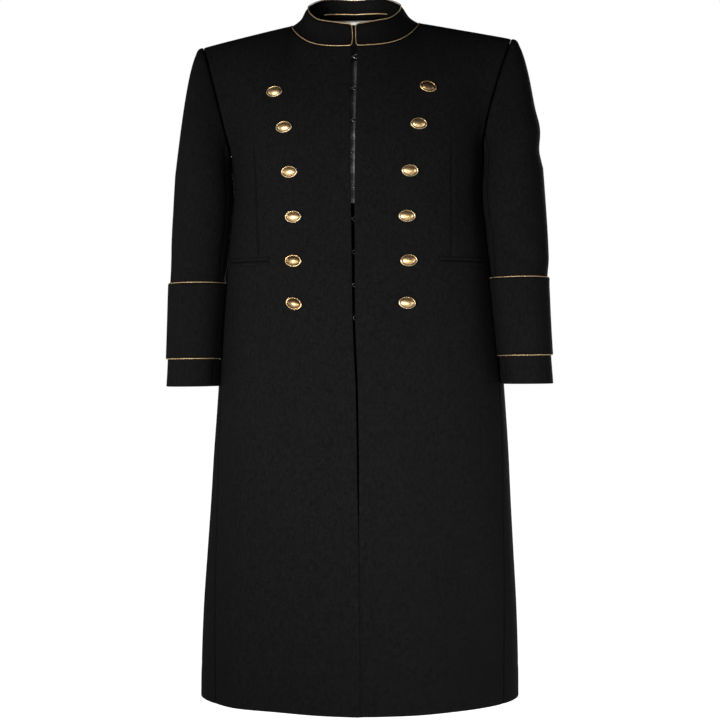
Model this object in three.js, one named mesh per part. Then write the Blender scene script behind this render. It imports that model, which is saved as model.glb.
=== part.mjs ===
// Military overcoat in heavy wool, filled out as it hangs from a wearer's shoulders, with nobody in it.
// Millimetres, +Z up. The origin lies midway between the two side neck points, and the front faces -Y.
// The wearer's right is on -X. Every cloth piece is a wall: its outer points come from the section tables
// below, and its inner points are the same ones moved in by the cloth's thickness.
import * as THREE from "three";

const { clamp, degToRad, lerp, smoothstep } = THREE.MathUtils;

// Driving sizes
const SEAM_GAP = 0.3;
const CLOTH = 2.4;
const NECK = { halfWidth: 92, front: 92, back: 75, frontDrop: 45, backRise: 19, roundness: 4.3, slant: 0.5 };
const SHOULDER = { reach: 223, drop: 27 };
const CHEST_DROP = 195;
const HEM_DROP = 975;
const HEM_SIDE_LIFT = 4;

// Body sections from the underarm to the hem. width is half the coat's width, front and back are its
// depths from the centre, power rounds the section (2 is an ellipse), and seam is the side seam's angle
// from the centre front.
const BODY = [
  { drop: 160, width: 190, front: 124, back: 112, power: 2.3, seam: 79 },
  { drop: 187, width: 186, front: 125, back: 112, power: 2.3, seam: 79 },
  { drop: 218, width: 182, front: 125, back: 109, power: 2.3, seam: 78 },
  { drop: 245, width: 180, front: 125, back: 107, power: 2.3, seam: 78 },
  { drop: 283, width: 184, front: 126, back: 108, power: 2.3, seam: 77 },
  { drop: 342, width: 191, front: 129, back: 112, power: 2.3, seam: 76 },
  { drop: 413, width: 198, front: 133, back: 118, power: 2.25, seam: 75 },
  { drop: 470, width: 203.2, front: 136.5, back: 122.5, power: 2.22, seam: 74 },
  { drop: 530, width: 207, front: 140, back: 127, power: 2.2, seam: 73 },
  { drop: 616, width: 213, front: 145, back: 133, power: 2.15, seam: 71 },
  { drop: 689, width: 217, front: 149, back: 138, power: 2.1, seam: 69 },
  { drop: 762, width: 221.5, front: 153, back: 142, power: 2.1, seam: 67 },
  { drop: 834, width: 226, front: 157, back: 146, power: 2.05, seam: 65 },
  { drop: 906, width: 228.7, front: 161, back: 149, power: 2, seam: 63.5 },
  { drop: 975, width: 229.5, front: 165, back: 151, power: 2, seam: 62 },
];

// Half the gap between the two front edges, down the closure.
const FRONT_GAP = [
  { drop: 40, half: 3.4 },
  { drop: 205, half: 2.9 },
  { drop: 254, half: 2 },
  { drop: 420, half: 1.2 },
  { drop: 975, half: 0.9 },
];

// How the coat hangs: it leans sideways by shift, turns about Z by turn (degrees), and its shoulders
// rise towards the wearer's left by tilt (degrees). The sleeves keep their own tilt.
const HANG = [
  { drop: -48, shift: -5.6, turn: -1.5, tilt: 0.3, armTilt: 0.3 },
  { drop: 0, shift: -3, turn: -2, tilt: 1, armTilt: 1 },
  { drop: 50, shift: 0.5, turn: -3.2, tilt: 1.3, armTilt: 1.3 },
  { drop: 160, shift: 1.5, turn: -3.8, tilt: 0.9, armTilt: 1.1 },
  { drop: 250, shift: 2, turn: -4, tilt: 0.1, armTilt: 0.9 },
  { drop: 342, shift: 3, turn: -3.9, tilt: 0, armTilt: 0.8 },
  { drop: 430, shift: 4.2, turn: -3.9, tilt: 0, armTilt: 0.8 },
  { drop: 530, shift: 5.5, turn: -2.6, tilt: 0, armTilt: 0.8 },
  { drop: 640, shift: 5.2, turn: -1.7, tilt: 0, armTilt: 0.8 },
  { drop: 834, shift: 3.8, turn: -0.6, tilt: 0, armTilt: 0.8 },
  { drop: 975, shift: 3.3, turn: -0.2, tilt: 0, armTilt: 0.8 },
];

// Control vectors of the cloth over the shoulders. across runs from the centre edge to the armhole.
// lead is how the cloth leaves the neck or the shoulder seam, and rise how it reaches the chest line.
const FRONT_YOKE = {
  neckShare: 0.34,
  lead: [
    { across: 0, x: 0, y: -10, z: -45 },
    { across: 0.17, x: 12, y: -26, z: -32 },
    { across: 0.26, x: 18, y: -34, z: -24 },
    { across: 0.32, x: 14, y: -50, z: -8 },
    { across: 0.34, x: 6, y: -58, z: -1.5 },
    { across: 0.67, x: 0, y: -58, z: 0 },
    { across: 1, x: -2, y: -46, z: 0 },
  ],
  rise: [
    { across: 0, x: 0, y: 2, z: 60 },
    { across: 0.67, x: 0, y: 0, z: 75 },
    { across: 0.85, x: 1, y: -8, z: 62 },
    { across: 1, x: -4, y: -38, z: 24 },
  ],
};
const BACK_YOKE = {
  neckShare: 0.27,
  lead: [
    { across: 0, x: 0, y: 18, z: -36 },
    { across: 0.14, x: 8, y: 31, z: -20 },
    { across: 0.22, x: 9, y: 42, z: -9 },
    { across: 0.27, x: 5, y: 49, z: -1.5 },
    { across: 0.6, x: 0, y: 52, z: 0 },
    { across: 1, x: -2, y: 46, z: 0 },
  ],
  rise: [
    { across: 0, x: 0, y: 4, z: 80 },
    { across: 0.6, x: 0, y: 2, z: 84 },
    { across: 0.85, x: 1, y: 16, z: 66 },
    { across: 1, x: -1, y: 70, z: 30 },
  ],
};

// Soft folds of the body: a trough (or a ridge, where depth is negative) that runs from one angle to
// another between two drops. Angles are from the centre front, negative on the wearer's right.
const BODY_FOLDS = [
  { from: -12, to: -32, top: 500, bottom: 1060, width: 11, depth: 5 },
  { from: -44, to: -50, top: 560, bottom: 1060, width: 9, depth: -4 },
  { from: 40, to: 45, top: 600, bottom: 940, width: 13, depth: 5 },
  { from: 22, to: 20, top: 620, bottom: 1060, width: 9, depth: -3 },
  { from: 150, to: 146, top: 420, bottom: 1060, width: 11, depth: 9 },
  { from: 124, to: 120, top: 500, bottom: 1060, width: 10, depth: -6 },
  { from: -152, to: -149, top: 400, bottom: 1060, width: 12, depth: 10 },
  { from: -126, to: -120, top: 520, bottom: 1060, width: 10, depth: -5 },
  { from: 100, to: 104, top: 560, bottom: 1060, width: 8, depth: 5 },
  { from: -101, to: -104, top: 540, bottom: 1060, width: 8, depth: 6 },
];

// Sleeve sections: outer and inner are distances from the coat's centre, middle is the section's centre
// from front to back, and depth is half its measure that way.
const SLEEVE = [
  { drop: 215, outer: 266, inner: 189, middle: -8, depth: 62 },
  { drop: 254, outer: 268.5, inner: 187, middle: -9, depth: 61 },
  { drop: 300, outer: 271, inner: 190.5, middle: -12, depth: 59 },
  { drop: 342, outer: 272.5, inner: 195.5, middle: -16, depth: 57 },
  { drop: 372, outer: 273.5, inner: 198.5, middle: -19, depth: 56 },
  { drop: 428, outer: 275, inner: 204, middle: -24, depth: 54 },
  { drop: 485, outer: 277, inner: 208.5, middle: -28, depth: 52 },
  { drop: 521, outer: 279, inner: 210.5, middle: -30, depth: 51 },
];
const ARM_DROP = 215;
const CUFF_DROP = 521;
const SLEEVE_SEAMS = { front: 144, back: 234 };
const YOKE_ROWS = 10;
const ARM_COLUMN = 180 / YOKE_ROWS;

// The sleeve's inner side is pressed towards the body by pull and stays clear of it, more so behind the
// cuff band. lean is how far its outer line runs out in each millimetre of drop.
const SLEEVE_REST = { pull: 8, clear: 1.3, bandClear: 4.6, lean: 0.124 };

// How the sleeve leaves the armhole, by the angle round it: 0 is the shoulder point, 90 the front, 180
// the underarm. cap is the first control vector and reach the height of the last one.
const SLEEVE_HEAD = [
  { angle: 0, x: 21, y: 0, z: -1, reach: 105 },
  { angle: 45, x: 19, y: -7, z: -8, reach: 90 },
  { angle: 90, x: 13, y: -9, z: -14, reach: 62 },
  { angle: 135, x: 12, y: -4, z: -8, reach: 16 },
  { angle: 180, x: 9, y: 0, z: -3, reach: 4 },
  { angle: 225, x: 17, y: 5, z: -5, reach: 14 },
  { angle: 270, x: 20, y: 10, z: -9, reach: 55 },
  { angle: 315, x: 19, y: 7, z: -8, reach: 90 },
  { angle: 360, x: 21, y: 0, z: -1, reach: 105 },
];

// Folds of the sleeves, by the angle round the arm and the drop of their middle. slant turns a fold
// as it goes round, in millimetres of drop for each degree.
const SLEEVE_FOLDS = [
  { side: "left", angle: 0, drop: 152, round: 70, along: 20, slant: 0.15, depth: -3 },
  { side: "left", angle: 0, drop: 188, round: 60, along: 16, slant: 0.1, depth: 2.5 },
  { side: "left", angle: 120, drop: 322, round: 50, along: 15, slant: -0.5, depth: 4 },
  { side: "right", angle: 110, drop: 345, round: 45, along: 16, slant: -0.4, depth: 3 },
  { side: "right", angle: 300, drop: 330, round: 60, along: 20, slant: 0.3, depth: 3 },
  { side: "left", angle: 290, drop: 345, round: 60, along: 20, slant: 0.3, depth: 3 },
];

// The wearer's right and left. armIn draws the front armhole in, and forward and near place the sleeve.
const RIGHT = { name: "right", sign: -1, armIn: -4, forward: 0, near: 0 };
const LEFT = { name: "left", sign: 1, armIn: 7, forward: 15, near: 1.5 };
const SIDES = [RIGHT, LEFT];

// Collar, cuffs, pockets and small pieces
const COLLAR = { topHalfWidth: 67, topFront: 80, topBack: 63, gap: 5, cloth: 2.6 };
const COLLAR_HEIGHT = [
  { angle: 0, height: 31.5 },
  { angle: 30, height: 34 },
  { angle: 58, height: 27.5 },
  { angle: 80, height: 24 },
  { angle: 105, height: 29 },
  { angle: 180, height: 27 },
];
// How far the collar has leaned in at each share of its height.
const COLLAR_LEAN = [
  { rise: 0, lean: 0 },
  { rise: 0.15, lean: 0.3 },
  { rise: 0.35, lean: 0.57 },
  { rise: 0.6, lean: 0.74 },
  { rise: 0.85, lean: 0.87 },
  { rise: 1, lean: 1 },
];
const COLLAR_CORNER = { top: 6, bottom: 3 };
const PIPING = { radius: 1.2, sides: 5, clear: 0.5 };
const CUFF_BAND = { top: 374, bottom: 480, clear: 0.9, cloth: 2 };
const WELT = { drop: 348, height: 5.7, split: 0.6, from: 35.5, to: 69, cloth: 1.4 };
const BUTTON = { halfWidth: 12.2, halfHeight: 8.5, rise: 5.2, seat: 0.35 };
const BUTTONS = [
  { row: 1, rightX: -116.4, rightDrop: 108.6, leftX: 98.6, leftDrop: 103.8 },
  { row: 2, rightX: -102.2, rightDrop: 160.7, leftX: 84.9, leftDrop: 157.6 },
  { row: 3, rightX: -94.5, rightDrop: 223.6, leftX: 72.6, leftDrop: 223.2 },
  { row: 4, rightX: -88.9, rightDrop: 286.6, leftX: 68.5, leftDrop: 286.3 },
  { row: 5, rightX: -88.7, rightDrop: 348.2, leftX: 70.9, leftDrop: 348.1 },
  { row: 6, rightX: -87.7, rightDrop: 407.7, leftX: 68.5, leftDrop: 407 },
];
const HOOK_ROW = { count: 9, first: 60, pitch: 46 };
const WIRE = { radius: 0.5, sides: 5 };
const UNDERLAP = { top: 66, bottom: 268, half: 15, deep: 8.4, cloth: 1, clear: 0.5, bendStart: 9.5, bendEnd: 13 };
const LABEL = { half: 30, shift: -5, top: 0.006, bottom: 0.06, inside: 4.1, cloth: 0.8 };
const HANGER_LOOP = { half: 50, height: 0.34, radius: 1.5, clear: 0.5 };

// Colours and finishes
const WOOL = new THREE.MeshStandardMaterial({ color: 0x15161a, roughness: 0.95, metalness: 0 });
const SATIN = new THREE.MeshStandardMaterial({ color: 0x3a3a3c, roughness: 0.4, metalness: 0 });
const GOLD_CORD = new THREE.MeshStandardMaterial({ color: 0xb08a4e, roughness: 0.5, metalness: 0.3 });
const BRASS = new THREE.MeshStandardMaterial({ color: 0x9a7a44, roughness: 0.4, metalness: 0.9 });
const BLACK_WIRE = new THREE.MeshStandardMaterial({ color: 0x1c1c1c, roughness: 0.35, metalness: 0.8 });
const LABEL_CLOTH = new THREE.MeshStandardMaterial({ color: 0xe8e6e0, roughness: 0.8, metalness: 0 });

const coat = new THREE.Group();

// Reads a column of a table at a key between its rows, on a smooth curve through them.
function lookUp(table, key, where, column) {
  const last = table.length - 1;
  const place = clamp(where, table[0][key], table[last][key]);
  let i = 0;
  while (i < last - 1 && table[i + 1][key] < place) {
    i += 1;
  }
  const slope = (k) => {
    const before = table[Math.max(k - 1, 0)];
    const after = table[Math.min(k + 1, last)];
    return (after[column] - before[column]) / (after[key] - before[key]);
  };
  const span = table[i + 1][key] - table[i][key];
  const t = (place - table[i][key]) / span;
  const hold = (1 + 2 * t) * (1 - t) ** 2;
  const leave = t * (1 - t) ** 2 * span;
  const arrive = t * t * (t - 1) * span;
  return hold * table[i][column] + leave * slope(i) + (1 - hold) * table[i + 1][column] + arrive * slope(i + 1);
}

function vectorAt(table, key, where, sign) {
  const read = (column) => lookUp(table, key, where, column);
  return new THREE.Vector3(sign * read("x"), read("y"), read("z"));
}

// Gives a point of the straight coat its place on the coat as it hangs.
function hang(point, tiltColumn = "tilt") {
  const read = (column) => lookUp(HANG, "drop", -point.z, column);
  const turn = degToRad(read("turn"));
  const lift = point.x * Math.tan(degToRad(read(tiltColumn)));
  return new THREE.Vector3(
    point.x * Math.cos(turn) - point.y * Math.sin(turn) + read("shift"),
    point.x * Math.sin(turn) + point.y * Math.cos(turn),
    point.z + lift,
  );
}

// A bell curve that is 1 at 0 and falls to nothing by 2.5.
function bell(distance) {
  return Math.exp(-distance * distance);
}

function bodyFoldDepth(side, angle, drop) {
  let depth = 0;
  for (const fold of BODY_FOLDS) {
    const along = (drop - fold.top) / (fold.bottom - fold.top);
    const middle = lerp(fold.from, fold.to, along);
    const strength = smoothstep(along, 0, 0.55) * (1 - smoothstep(along, 0.85, 1));
    depth += fold.depth * strength * bell((side.sign * angle - middle) / fold.width);
  }
  return depth;
}

// A point on the body below the chest line, at an angle from the centre front.
function bodyPoint(side, angle, drop) {
  const read = (column) => lookUp(BODY, "drop", drop, column);
  const turn = degToRad(angle);
  const power = 2 / read("power");
  const across = Math.sin(turn) ** power;
  const along = Math.sign(Math.cos(turn)) * Math.abs(Math.cos(turn)) ** power;
  const depth = along > 0 ? read("front") : read("back");
  const push = bodyFoldDepth(side, angle, drop);
  const lift = HEM_SIDE_LIFT * across * smoothstep(drop, HEM_DROP - 90, HEM_DROP);
  return new THREE.Vector3(
    side.sign * across * (read("width") - push),
    -along * (depth - push),
    lift - drop,
  );
}

// The angle on the body section at which the cloth is x away from the middle, towards the front.
function angleAt(x, drop) {
  const ratio = x / lookUp(BODY, "drop", drop, "width");
  return THREE.MathUtils.radToDeg(Math.asin(ratio ** (lookUp(BODY, "drop", drop, "power") / 2)));
}

// The neck seam, by the angle from the centre front.
function neckPoint(side, angle) {
  const turn = degToRad(angle);
  const along = Math.cos(turn);
  const isFront = along > 0;
  const bend = 1 - Math.sin(turn) ** NECK.roundness;
  return new THREE.Vector3(
    side.sign * NECK.halfWidth * Math.sin(turn),
    -along * (isFront ? NECK.front : NECK.back),
    isFront ? -NECK.frontDrop * lerp(bend, along, NECK.slant) : NECK.backRise * bend,
  );
}

function bezier(p0, p1, p2, p3, t) {
  const s = 1 - t;
  return new THREE.Vector3()
    .addScaledVector(p0, s * s * s)
    .addScaledVector(p1, 3 * s * s * t)
    .addScaledVector(p2, 3 * s * t * t)
    .addScaledVector(p3, t * t * t);
}

// The neck seam and the shoulder seam, which a panel's top edge follows from the centre to the armhole.
function topEdge(side, isFront, across) {
  const share = (isFront ? FRONT_YOKE : BACK_YOKE).neckShare;
  if (across <= share) {
    const start = isFront ? degree(Math.asin(FRONT_GAP[0].half / NECK.halfWidth)) : 180;
    return neckPoint(side, lerp(start, 90, across / share));
  }
  const t = (across - share) / (1 - share);
  return new THREE.Vector3(
    side.sign * lerp(NECK.halfWidth, SHOULDER.reach, t),
    0,
    -SHOULDER.drop * t,
  );
}

function degree(radians) {
  return THREE.MathUtils.radToDeg(radians);
}

// The angle of a place across a panel, from the centre edge (0) to the side seam (1).
function panelAngle(isFront, across, drop) {
  const start = isFront ? angleAt(lookUp(FRONT_GAP, "drop", drop, "half"), drop) : 180;
  return lerp(start, lookUp(BODY, "drop", drop, "seam"), across);
}

// A panel point before the coat hangs. down is 0 at the top edge, 1 at the chest and 2 at the hem.
function straightPanelPoint(side, isFront, across, down) {
  if (down >= 1) {
    const drop = lerp(CHEST_DROP, HEM_DROP, down - 1);
    return bodyPoint(side, panelAngle(isFront, across, drop), drop);
  }
  const yoke = isFront ? FRONT_YOKE : BACK_YOKE;
  const top = topEdge(side, isFront, across);
  const chest = bodyPoint(side, panelAngle(isFront, across, CHEST_DROP), CHEST_DROP);
  const lead = vectorAt(yoke.lead, "across", across, side.sign).add(top);
  const rise = vectorAt(yoke.rise, "across", across, side.sign).add(chest);
  if (isFront) {
    rise.x -= side.sign * side.armIn * across ** 4;
  }
  return bezier(top, lead, rise, chest, down);
}

function panelPoint(side, isFront, across, down) {
  return hang(straightPanelPoint(side, isFront, across, down));
}

// The armhole, by the angle round it: 0 at the shoulder point, 90 in front, 180 under the arm.
function armholePoint(side, angle) {
  const isFront = angle <= 180;
  return panelPoint(side, isFront, 1, isFront ? angle / 180 : (360 - angle) / 180);
}

function sleeveFoldDepth(side, angle, drop) {
  let depth = 0;
  for (const fold of SLEEVE_FOLDS) {
    const round = ((angle - fold.angle + 540) % 360) - 180;
    const along = drop - fold.drop - fold.slant * round;
    const isHere = fold.side === side.name;
    depth += isHere ? fold.depth * bell(round / fold.round) * bell(along / fold.along) : 0;
  }
  return depth;
}

// How far the body's side reaches at a depth y from the middle, before it hangs.
function bodyHalfWidth(y, drop) {
  const read = (column) => lookUp(BODY, "drop", drop, column);
  const depth = read(y < 0 ? "front" : "back");
  const power = read("power");
  return read("width") * (1 - Math.min(Math.abs(y) / depth, 1) ** power) ** (1 / power);
}

// A point of the sleeve's horizontal sections, from the arm's top section to the cuff.
function armPoint(side, angle, drop) {
  const read = (column) => lookUp(SLEEVE, "drop", drop, column);
  const turn = degToRad(angle);
  const inner = read("inner") - side.near;
  const half = (read("outer") - inner) / 2;
  const push = sleeveFoldDepth(side, angle, drop);
  const middle = read("middle") - side.forward * smoothstep(drop, 60, 380);
  const x = inner + half + (half - push) * Math.cos(turn);
  const y = middle - (read("depth") - push) * Math.sin(turn);
  const atBand = smoothstep(drop, CUFF_BAND.top - 24, CUFF_BAND.top - 6)
    * (1 - smoothstep(drop, CUFF_BAND.bottom + 4, CUFF_BAND.bottom + 10));
  const rest = bodyHalfWidth(y, drop) + lerp(SLEEVE_REST.clear, SLEEVE_REST.bandClear, atBand);
  const pull = SLEEVE_REST.pull * smoothstep(-Math.cos(turn), -0.3, 0.7);
  return hang(new THREE.Vector3(side.sign * Math.min(x, Math.max(x - pull, rest)), y, -drop), "armTilt");
}

// A sleeve point. down is 0 at the armhole, 1 at the arm's top section and 2 at the cuff's edge.
function sleevePoint(side, angle, down) {
  if (down >= 1) {
    return armPoint(side, angle, lerp(ARM_DROP, CUFF_DROP, down - 1));
  }
  const turned = (angle + 360) % 360;
  const head = vectorAt(SLEEVE_HEAD, "angle", turned, side.sign);
  const reach = lookUp(SLEEVE_HEAD, "angle", turned, "reach");
  const start = armholePoint(side, turned);
  const arm = armPoint(side, turned, ARM_DROP);
  const above = arm.clone();
  above.z += reach;
  above.x -= side.sign * SLEEVE_REST.lean * reach * Math.max(Math.cos(degToRad(turned)), 0);
  const point = bezier(start, head.add(start), above, arm, down);
  const outward = new THREE.Vector3(side.sign * Math.cos(degToRad(turned)), -Math.sin(degToRad(turned)), 0);
  return point.addScaledVector(outward, -sleeveFoldDepth(side, turned, -point.z) * smoothstep(down, 0, 0.4));
}

// Turns a grid of points on each face of a wall into one closed mesh. Outer and inner are lists of rows.
function wallGeometry(outer, inner, isRing) {
  const rows = outer.length;
  const columns = outer[0].length;
  const position = [...outer.flat(), ...inner.flat()].flatMap((p) => [p.x, p.y, p.z]);
  const index = [];
  const at = (face, i, j) => (face * rows + i) * columns + (j % columns);
  const quad = (a, b, c, d) => index.push(a, c, b, a, d, c);
  const spans = isRing ? columns : columns - 1;
  for (let i = 0; i < rows - 1; i += 1) {
    for (let j = 0; j < spans; j += 1) {
      quad(at(0, i, j), at(0, i + 1, j), at(0, i + 1, j + 1), at(0, i, j + 1));
      quad(at(1, i, j), at(1, i, j + 1), at(1, i + 1, j + 1), at(1, i + 1, j));
    }
  }
  for (let j = 0; j < spans; j += 1) {
    quad(at(0, 0, j), at(0, 0, j + 1), at(1, 0, j + 1), at(1, 0, j));
    quad(at(0, rows - 1, j), at(1, rows - 1, j), at(1, rows - 1, j + 1), at(0, rows - 1, j + 1));
  }
  for (let i = 0; i < rows - 1 && !isRing; i += 1) {
    quad(at(0, i, 0), at(1, i, 0), at(1, i + 1, 0), at(0, i + 1, 0));
    quad(at(0, i, columns - 1), at(0, i + 1, columns - 1), at(1, i + 1, columns - 1), at(1, i, columns - 1));
  }
  const geometry = new THREE.BufferGeometry();
  geometry.setAttribute("position", new THREE.Float32BufferAttribute(position, 3));
  geometry.setIndex(index);
  return geometry;
}

// The outward normal of a surface at (u, v). facing is 1 where u, then v, turn right-handed about it.
function surfaceNormal(surface, u, v, facing) {
  const step = 0.002;
  const u0 = clamp(u, step, 1 - step);
  const v0 = clamp(v, step, 1 - step);
  const alongU = surface(u0 + step, v0).sub(surface(u0 - step, v0));
  const alongV = surface(u0, v0 + step).sub(surface(u0, v0 - step));
  return alongU.cross(alongV).normalize().multiplyScalar(facing);
}

// Moves a point of a surface out along the normal there, or in, where out is negative. A level move
// keeps the point's height.
function offsetPoint(surface, u, v, facing, out, isLevel = false) {
  const normal = surfaceNormal(surface, u, v, facing);
  if (isLevel) {
    normal.setZ(0).normalize();
  }
  return surface(u, v).addScaledVector(normal, out);
}

// Makes a cloth wall on a surface(u, v). us and vs are its grid lines, outer and inner how far its two
// faces stand out from the surface, each a number or a function of u and v.
function clothPiece(name, surface, shape) {
  const { us, vs, facing, outer = 0, inner, material, isRing = false, isLevel = false } = shape;
  const outAt = (out, u, v) => (typeof out === "function" ? out(u, v) : out);
  const lineUp = facing > 0 ? us : [...us].reverse();
  const face = (out) => vs.map((v) => lineUp.map((u) => (
    offsetPoint(surface, u, v, facing, outAt(out, u, v), isLevel)
  )));
  add(name, wallGeometry(face(outer), face(inner), isRing), material);
}

function add(name, geometry, material) {
  const mesh = new THREE.Mesh(geometry, material);
  mesh.name = name;
  coat.add(mesh);
  return mesh;
}

// Evenly spaced values from start to end, both included.
function steps(start, end, count) {
  return Array.from({ length: count + 1 }, (_, i) => lerp(start, end, i / count));
}

// Makes a round cord or wire through points, as a closed ring or with flat ends.
function cordPiece(name, points, shape) {
  const { radius, sides, material, isRing = false, stepCount = points.length } = shape;
  const curve = new THREE.CatmullRomCurve3(points, isRing);
  const frames = curve.computeFrenetFrames(stepCount, isRing);
  const rows = isRing ? stepCount : stepCount + 1;
  const position = [];
  const index = [];
  for (let i = 0; i < rows; i += 1) {
    const centre = curve.getPointAt(i / stepCount);
    for (let j = 0; j < sides; j += 1) {
      const turn = (2 * Math.PI * j) / sides;
      const rim = centre
        .clone()
        .addScaledVector(frames.normals[i], radius * Math.cos(turn))
        .addScaledVector(frames.binormals[i], radius * Math.sin(turn));
      position.push(rim.x, rim.y, rim.z);
    }
  }
  const at = (i, j) => (i % rows) * sides + (j % sides);
  for (let i = 0; i < stepCount; i += 1) {
    for (let j = 0; j < sides; j += 1) {
      index.push(at(i, j), at(i, j + 1), at(i + 1, j + 1));
      index.push(at(i, j), at(i + 1, j + 1), at(i + 1, j));
    }
  }
  for (let j = 1; j < sides - 1 && !isRing; j += 1) {
    index.push(at(0, 0), at(0, j + 1), at(0, j));
    index.push(at(stepCount, 0), at(stepCount, j), at(stepCount, j + 1));
  }
  const geometry = new THREE.BufferGeometry();
  geometry.setAttribute("position", new THREE.Float32BufferAttribute(position, 3));
  geometry.setIndex(index);
  add(name, geometry, material);
}

// Fronts and backs. Half the seam gap is taken off along each seam.
function addPanels() {
  const neckColumns = 5;
  const sideColumns = 8;
  const panelWidth = 200;
  const yokeLength = 150;
  const sectionRows = BODY.filter((row) => row.drop > CHEST_DROP)
    .map((row) => 0.5 + (row.drop - CHEST_DROP) / (HEM_DROP - CHEST_DROP) / 2);
  for (const side of SIDES) {
    for (const isFront of [true, false]) {
      const surface = (u, v) => panelPoint(side, isFront, u, 2 * v);
      const { neckShare } = isFront ? FRONT_YOKE : BACK_YOKE;
      const trim = SEAM_GAP / 2 / panelWidth;
      const centre = isFront ? 0 : trim;
      const neckLines = steps(0, neckShare, neckColumns).slice(1);
      const sideLines = steps(neckShare, 1 - trim, sideColumns).slice(1);
      const firstRow = SEAM_GAP / 2 / yokeLength / 2;
      clothPiece(`${isFront ? "front" : "back"}_${side.name}`, surface, {
        us: [centre, neckShare / neckColumns / 2, ...neckLines, ...sideLines],
        vs: [firstRow, ...steps(0, 0.5, YOKE_ROWS).slice(1), ...sectionRows],
        facing: side.sign * (isFront ? -1 : 1),
        inner: -CLOTH,
        material: WOOL,
      });
    }
  }
}

function addSleeves() {
  const armholeTrim = 0.014;
  const parts = [
    { name: "sleeve_top", from: SLEEVE_SEAMS.back - 360, to: SLEEVE_SEAMS.front },
    { name: "sleeve_under", from: SLEEVE_SEAMS.front, to: SLEEVE_SEAMS.back },
  ];
  for (const side of SIDES) {
    for (const part of parts) {
      const surface = (u, v) => sleevePoint(side, lerp(part.from, part.to, u), 2 * v);
      const trim = SEAM_GAP / 2 / (part.to - part.from);
      const columns = steps(0, 1, (part.to - part.from) / ARM_COLUMN).slice(1, -1);
      clothPiece(`${part.name}_${side.name}`, surface, {
        us: [trim, ...columns, 1 - trim],
        vs: [...steps(armholeTrim, 0.5, 6), ...steps(0.5, 1, 8).slice(1)],
        facing: side.sign,
        inner: -CLOTH,
        material: WOOL,
      });
    }
  }
}

function addCuffs() {
  const roundSteps = 360 / ARM_COLUMN;
  for (const side of SIDES) {
    const surface = (u, v) => armPoint(side, 360 * u, lerp(CUFF_BAND.top, CUFF_BAND.bottom, v));
    const turns = steps(0, 1, roundSteps).slice(0, -1);
    clothPiece(`cuff_band_${side.name}`, surface, {
      us: turns,
      vs: steps(0, 1, 3),
      facing: side.sign,
      outer: CUFF_BAND.clear + CUFF_BAND.cloth,
      inner: CUFF_BAND.clear,
      material: WOOL,
      isRing: true,
    });
    const clear = PIPING.radius + SEAM_GAP;
    for (const edge of [
      { name: "upper", drop: CUFF_BAND.top - clear },
      { name: "lower", drop: CUFF_BAND.bottom + clear },
    ]) {
      const ring = (u, v) => armPoint(side, 360 * u, edge.drop + v - 0.5);
      const points = turns.map((u) => offsetPoint(ring, u, 0.5, side.sign, clear + PIPING.clear));
      cordPiece(`cuff_piping_${edge.name}_${side.name}`, points, {
        ...PIPING,
        material: GOLD_CORD,
        isRing: true,
      });
    }
  }
}

// The stand collar. u runs from the right front edge round the back to the left one, v from the neck
// seam to the top edge.
function collarPoint(u, v) {
  const side = u < 0.5 ? RIGHT : LEFT;
  const towardFront = Math.abs(2 * u - 1);
  const start = degree(Math.asin(COLLAR.gap / 2 / NECK.halfWidth));
  const angle = lerp(180, start, towardFront);
  const seam = neckPoint(side, angle);
  const turn = degToRad(angle);
  const along = Math.cos(turn);
  const narrow = COLLAR.gap / 2 + (COLLAR.topHalfWidth - COLLAR.gap / 2) * ((Math.abs(seam.x) - COLLAR.gap / 2)
    / (NECK.halfWidth - COLLAR.gap / 2));
  const edgeDistance = (1 - towardFront) * Math.PI * NECK.front;
  const corner = (radius) => {
    const inside = clamp(radius - edgeDistance, 0, radius);
    return radius - Math.sqrt(radius * radius - inside * inside);
  };
  const height = lookUp(COLLAR_HEIGHT, "angle", angle, "height");
  const bottom = corner(COLLAR_CORNER.bottom) / height;
  const top = 1 - corner(COLLAR_CORNER.top) / height;
  const rise = lerp(bottom, top, v);
  const leaned = lookUp(COLLAR_LEAN, "rise", rise, "lean");
  return hang(new THREE.Vector3(
    side.sign * lerp(Math.abs(seam.x), narrow, leaned),
    lerp(seam.y, -along * (along > 0 ? COLLAR.topFront : COLLAR.topBack), leaned),
    seam.z + height * rise,
  ));
}

// Grid lines along the collar, closer together at its rounded front corners.
function collarLines() {
  const corner = [0, 0.004, 0.009, 0.015, 0.022];
  const middle = steps(0.045, 0.955, 26);
  return [...corner, ...middle, ...corner.map((u) => 1 - u).reverse()];
}

function addCollar() {
  const lines = collarLines();
  clothPiece("stand_collar", collarPoint, {
    us: lines,
    vs: [0.028, 0.34, 0.67, 1],
    facing: -1,
    inner: -COLLAR.cloth,
    material: WOOL,
    isLevel: true,
  });
  const topEdgeV = 0.98;
  const seamEdgeV = 0.1;
  const frontEdgeU = 0.001;
  const out = PIPING.radius + SEAM_GAP + PIPING.clear;
  const along = lines.slice(2, -2);
  const path = [
    ...along.map((u) => ({ u, v: topEdgeV })),
    ...[0.8, 0.5, 0.2].map((v) => ({ u: 1 - frontEdgeU, v })),
    ...[...along].reverse().map((u) => ({ u, v: seamEdgeV })),
    ...[0.2, 0.5, 0.8].map((v) => ({ u: frontEdgeU, v })),
  ];
  const points = path.map((p) => offsetPoint(collarPoint, p.u, p.v, -1, out));
  cordPiece("collar_piping", points, { ...PIPING, material: GOLD_CORD, isRing: true, stepCount: 80 });
}

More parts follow.
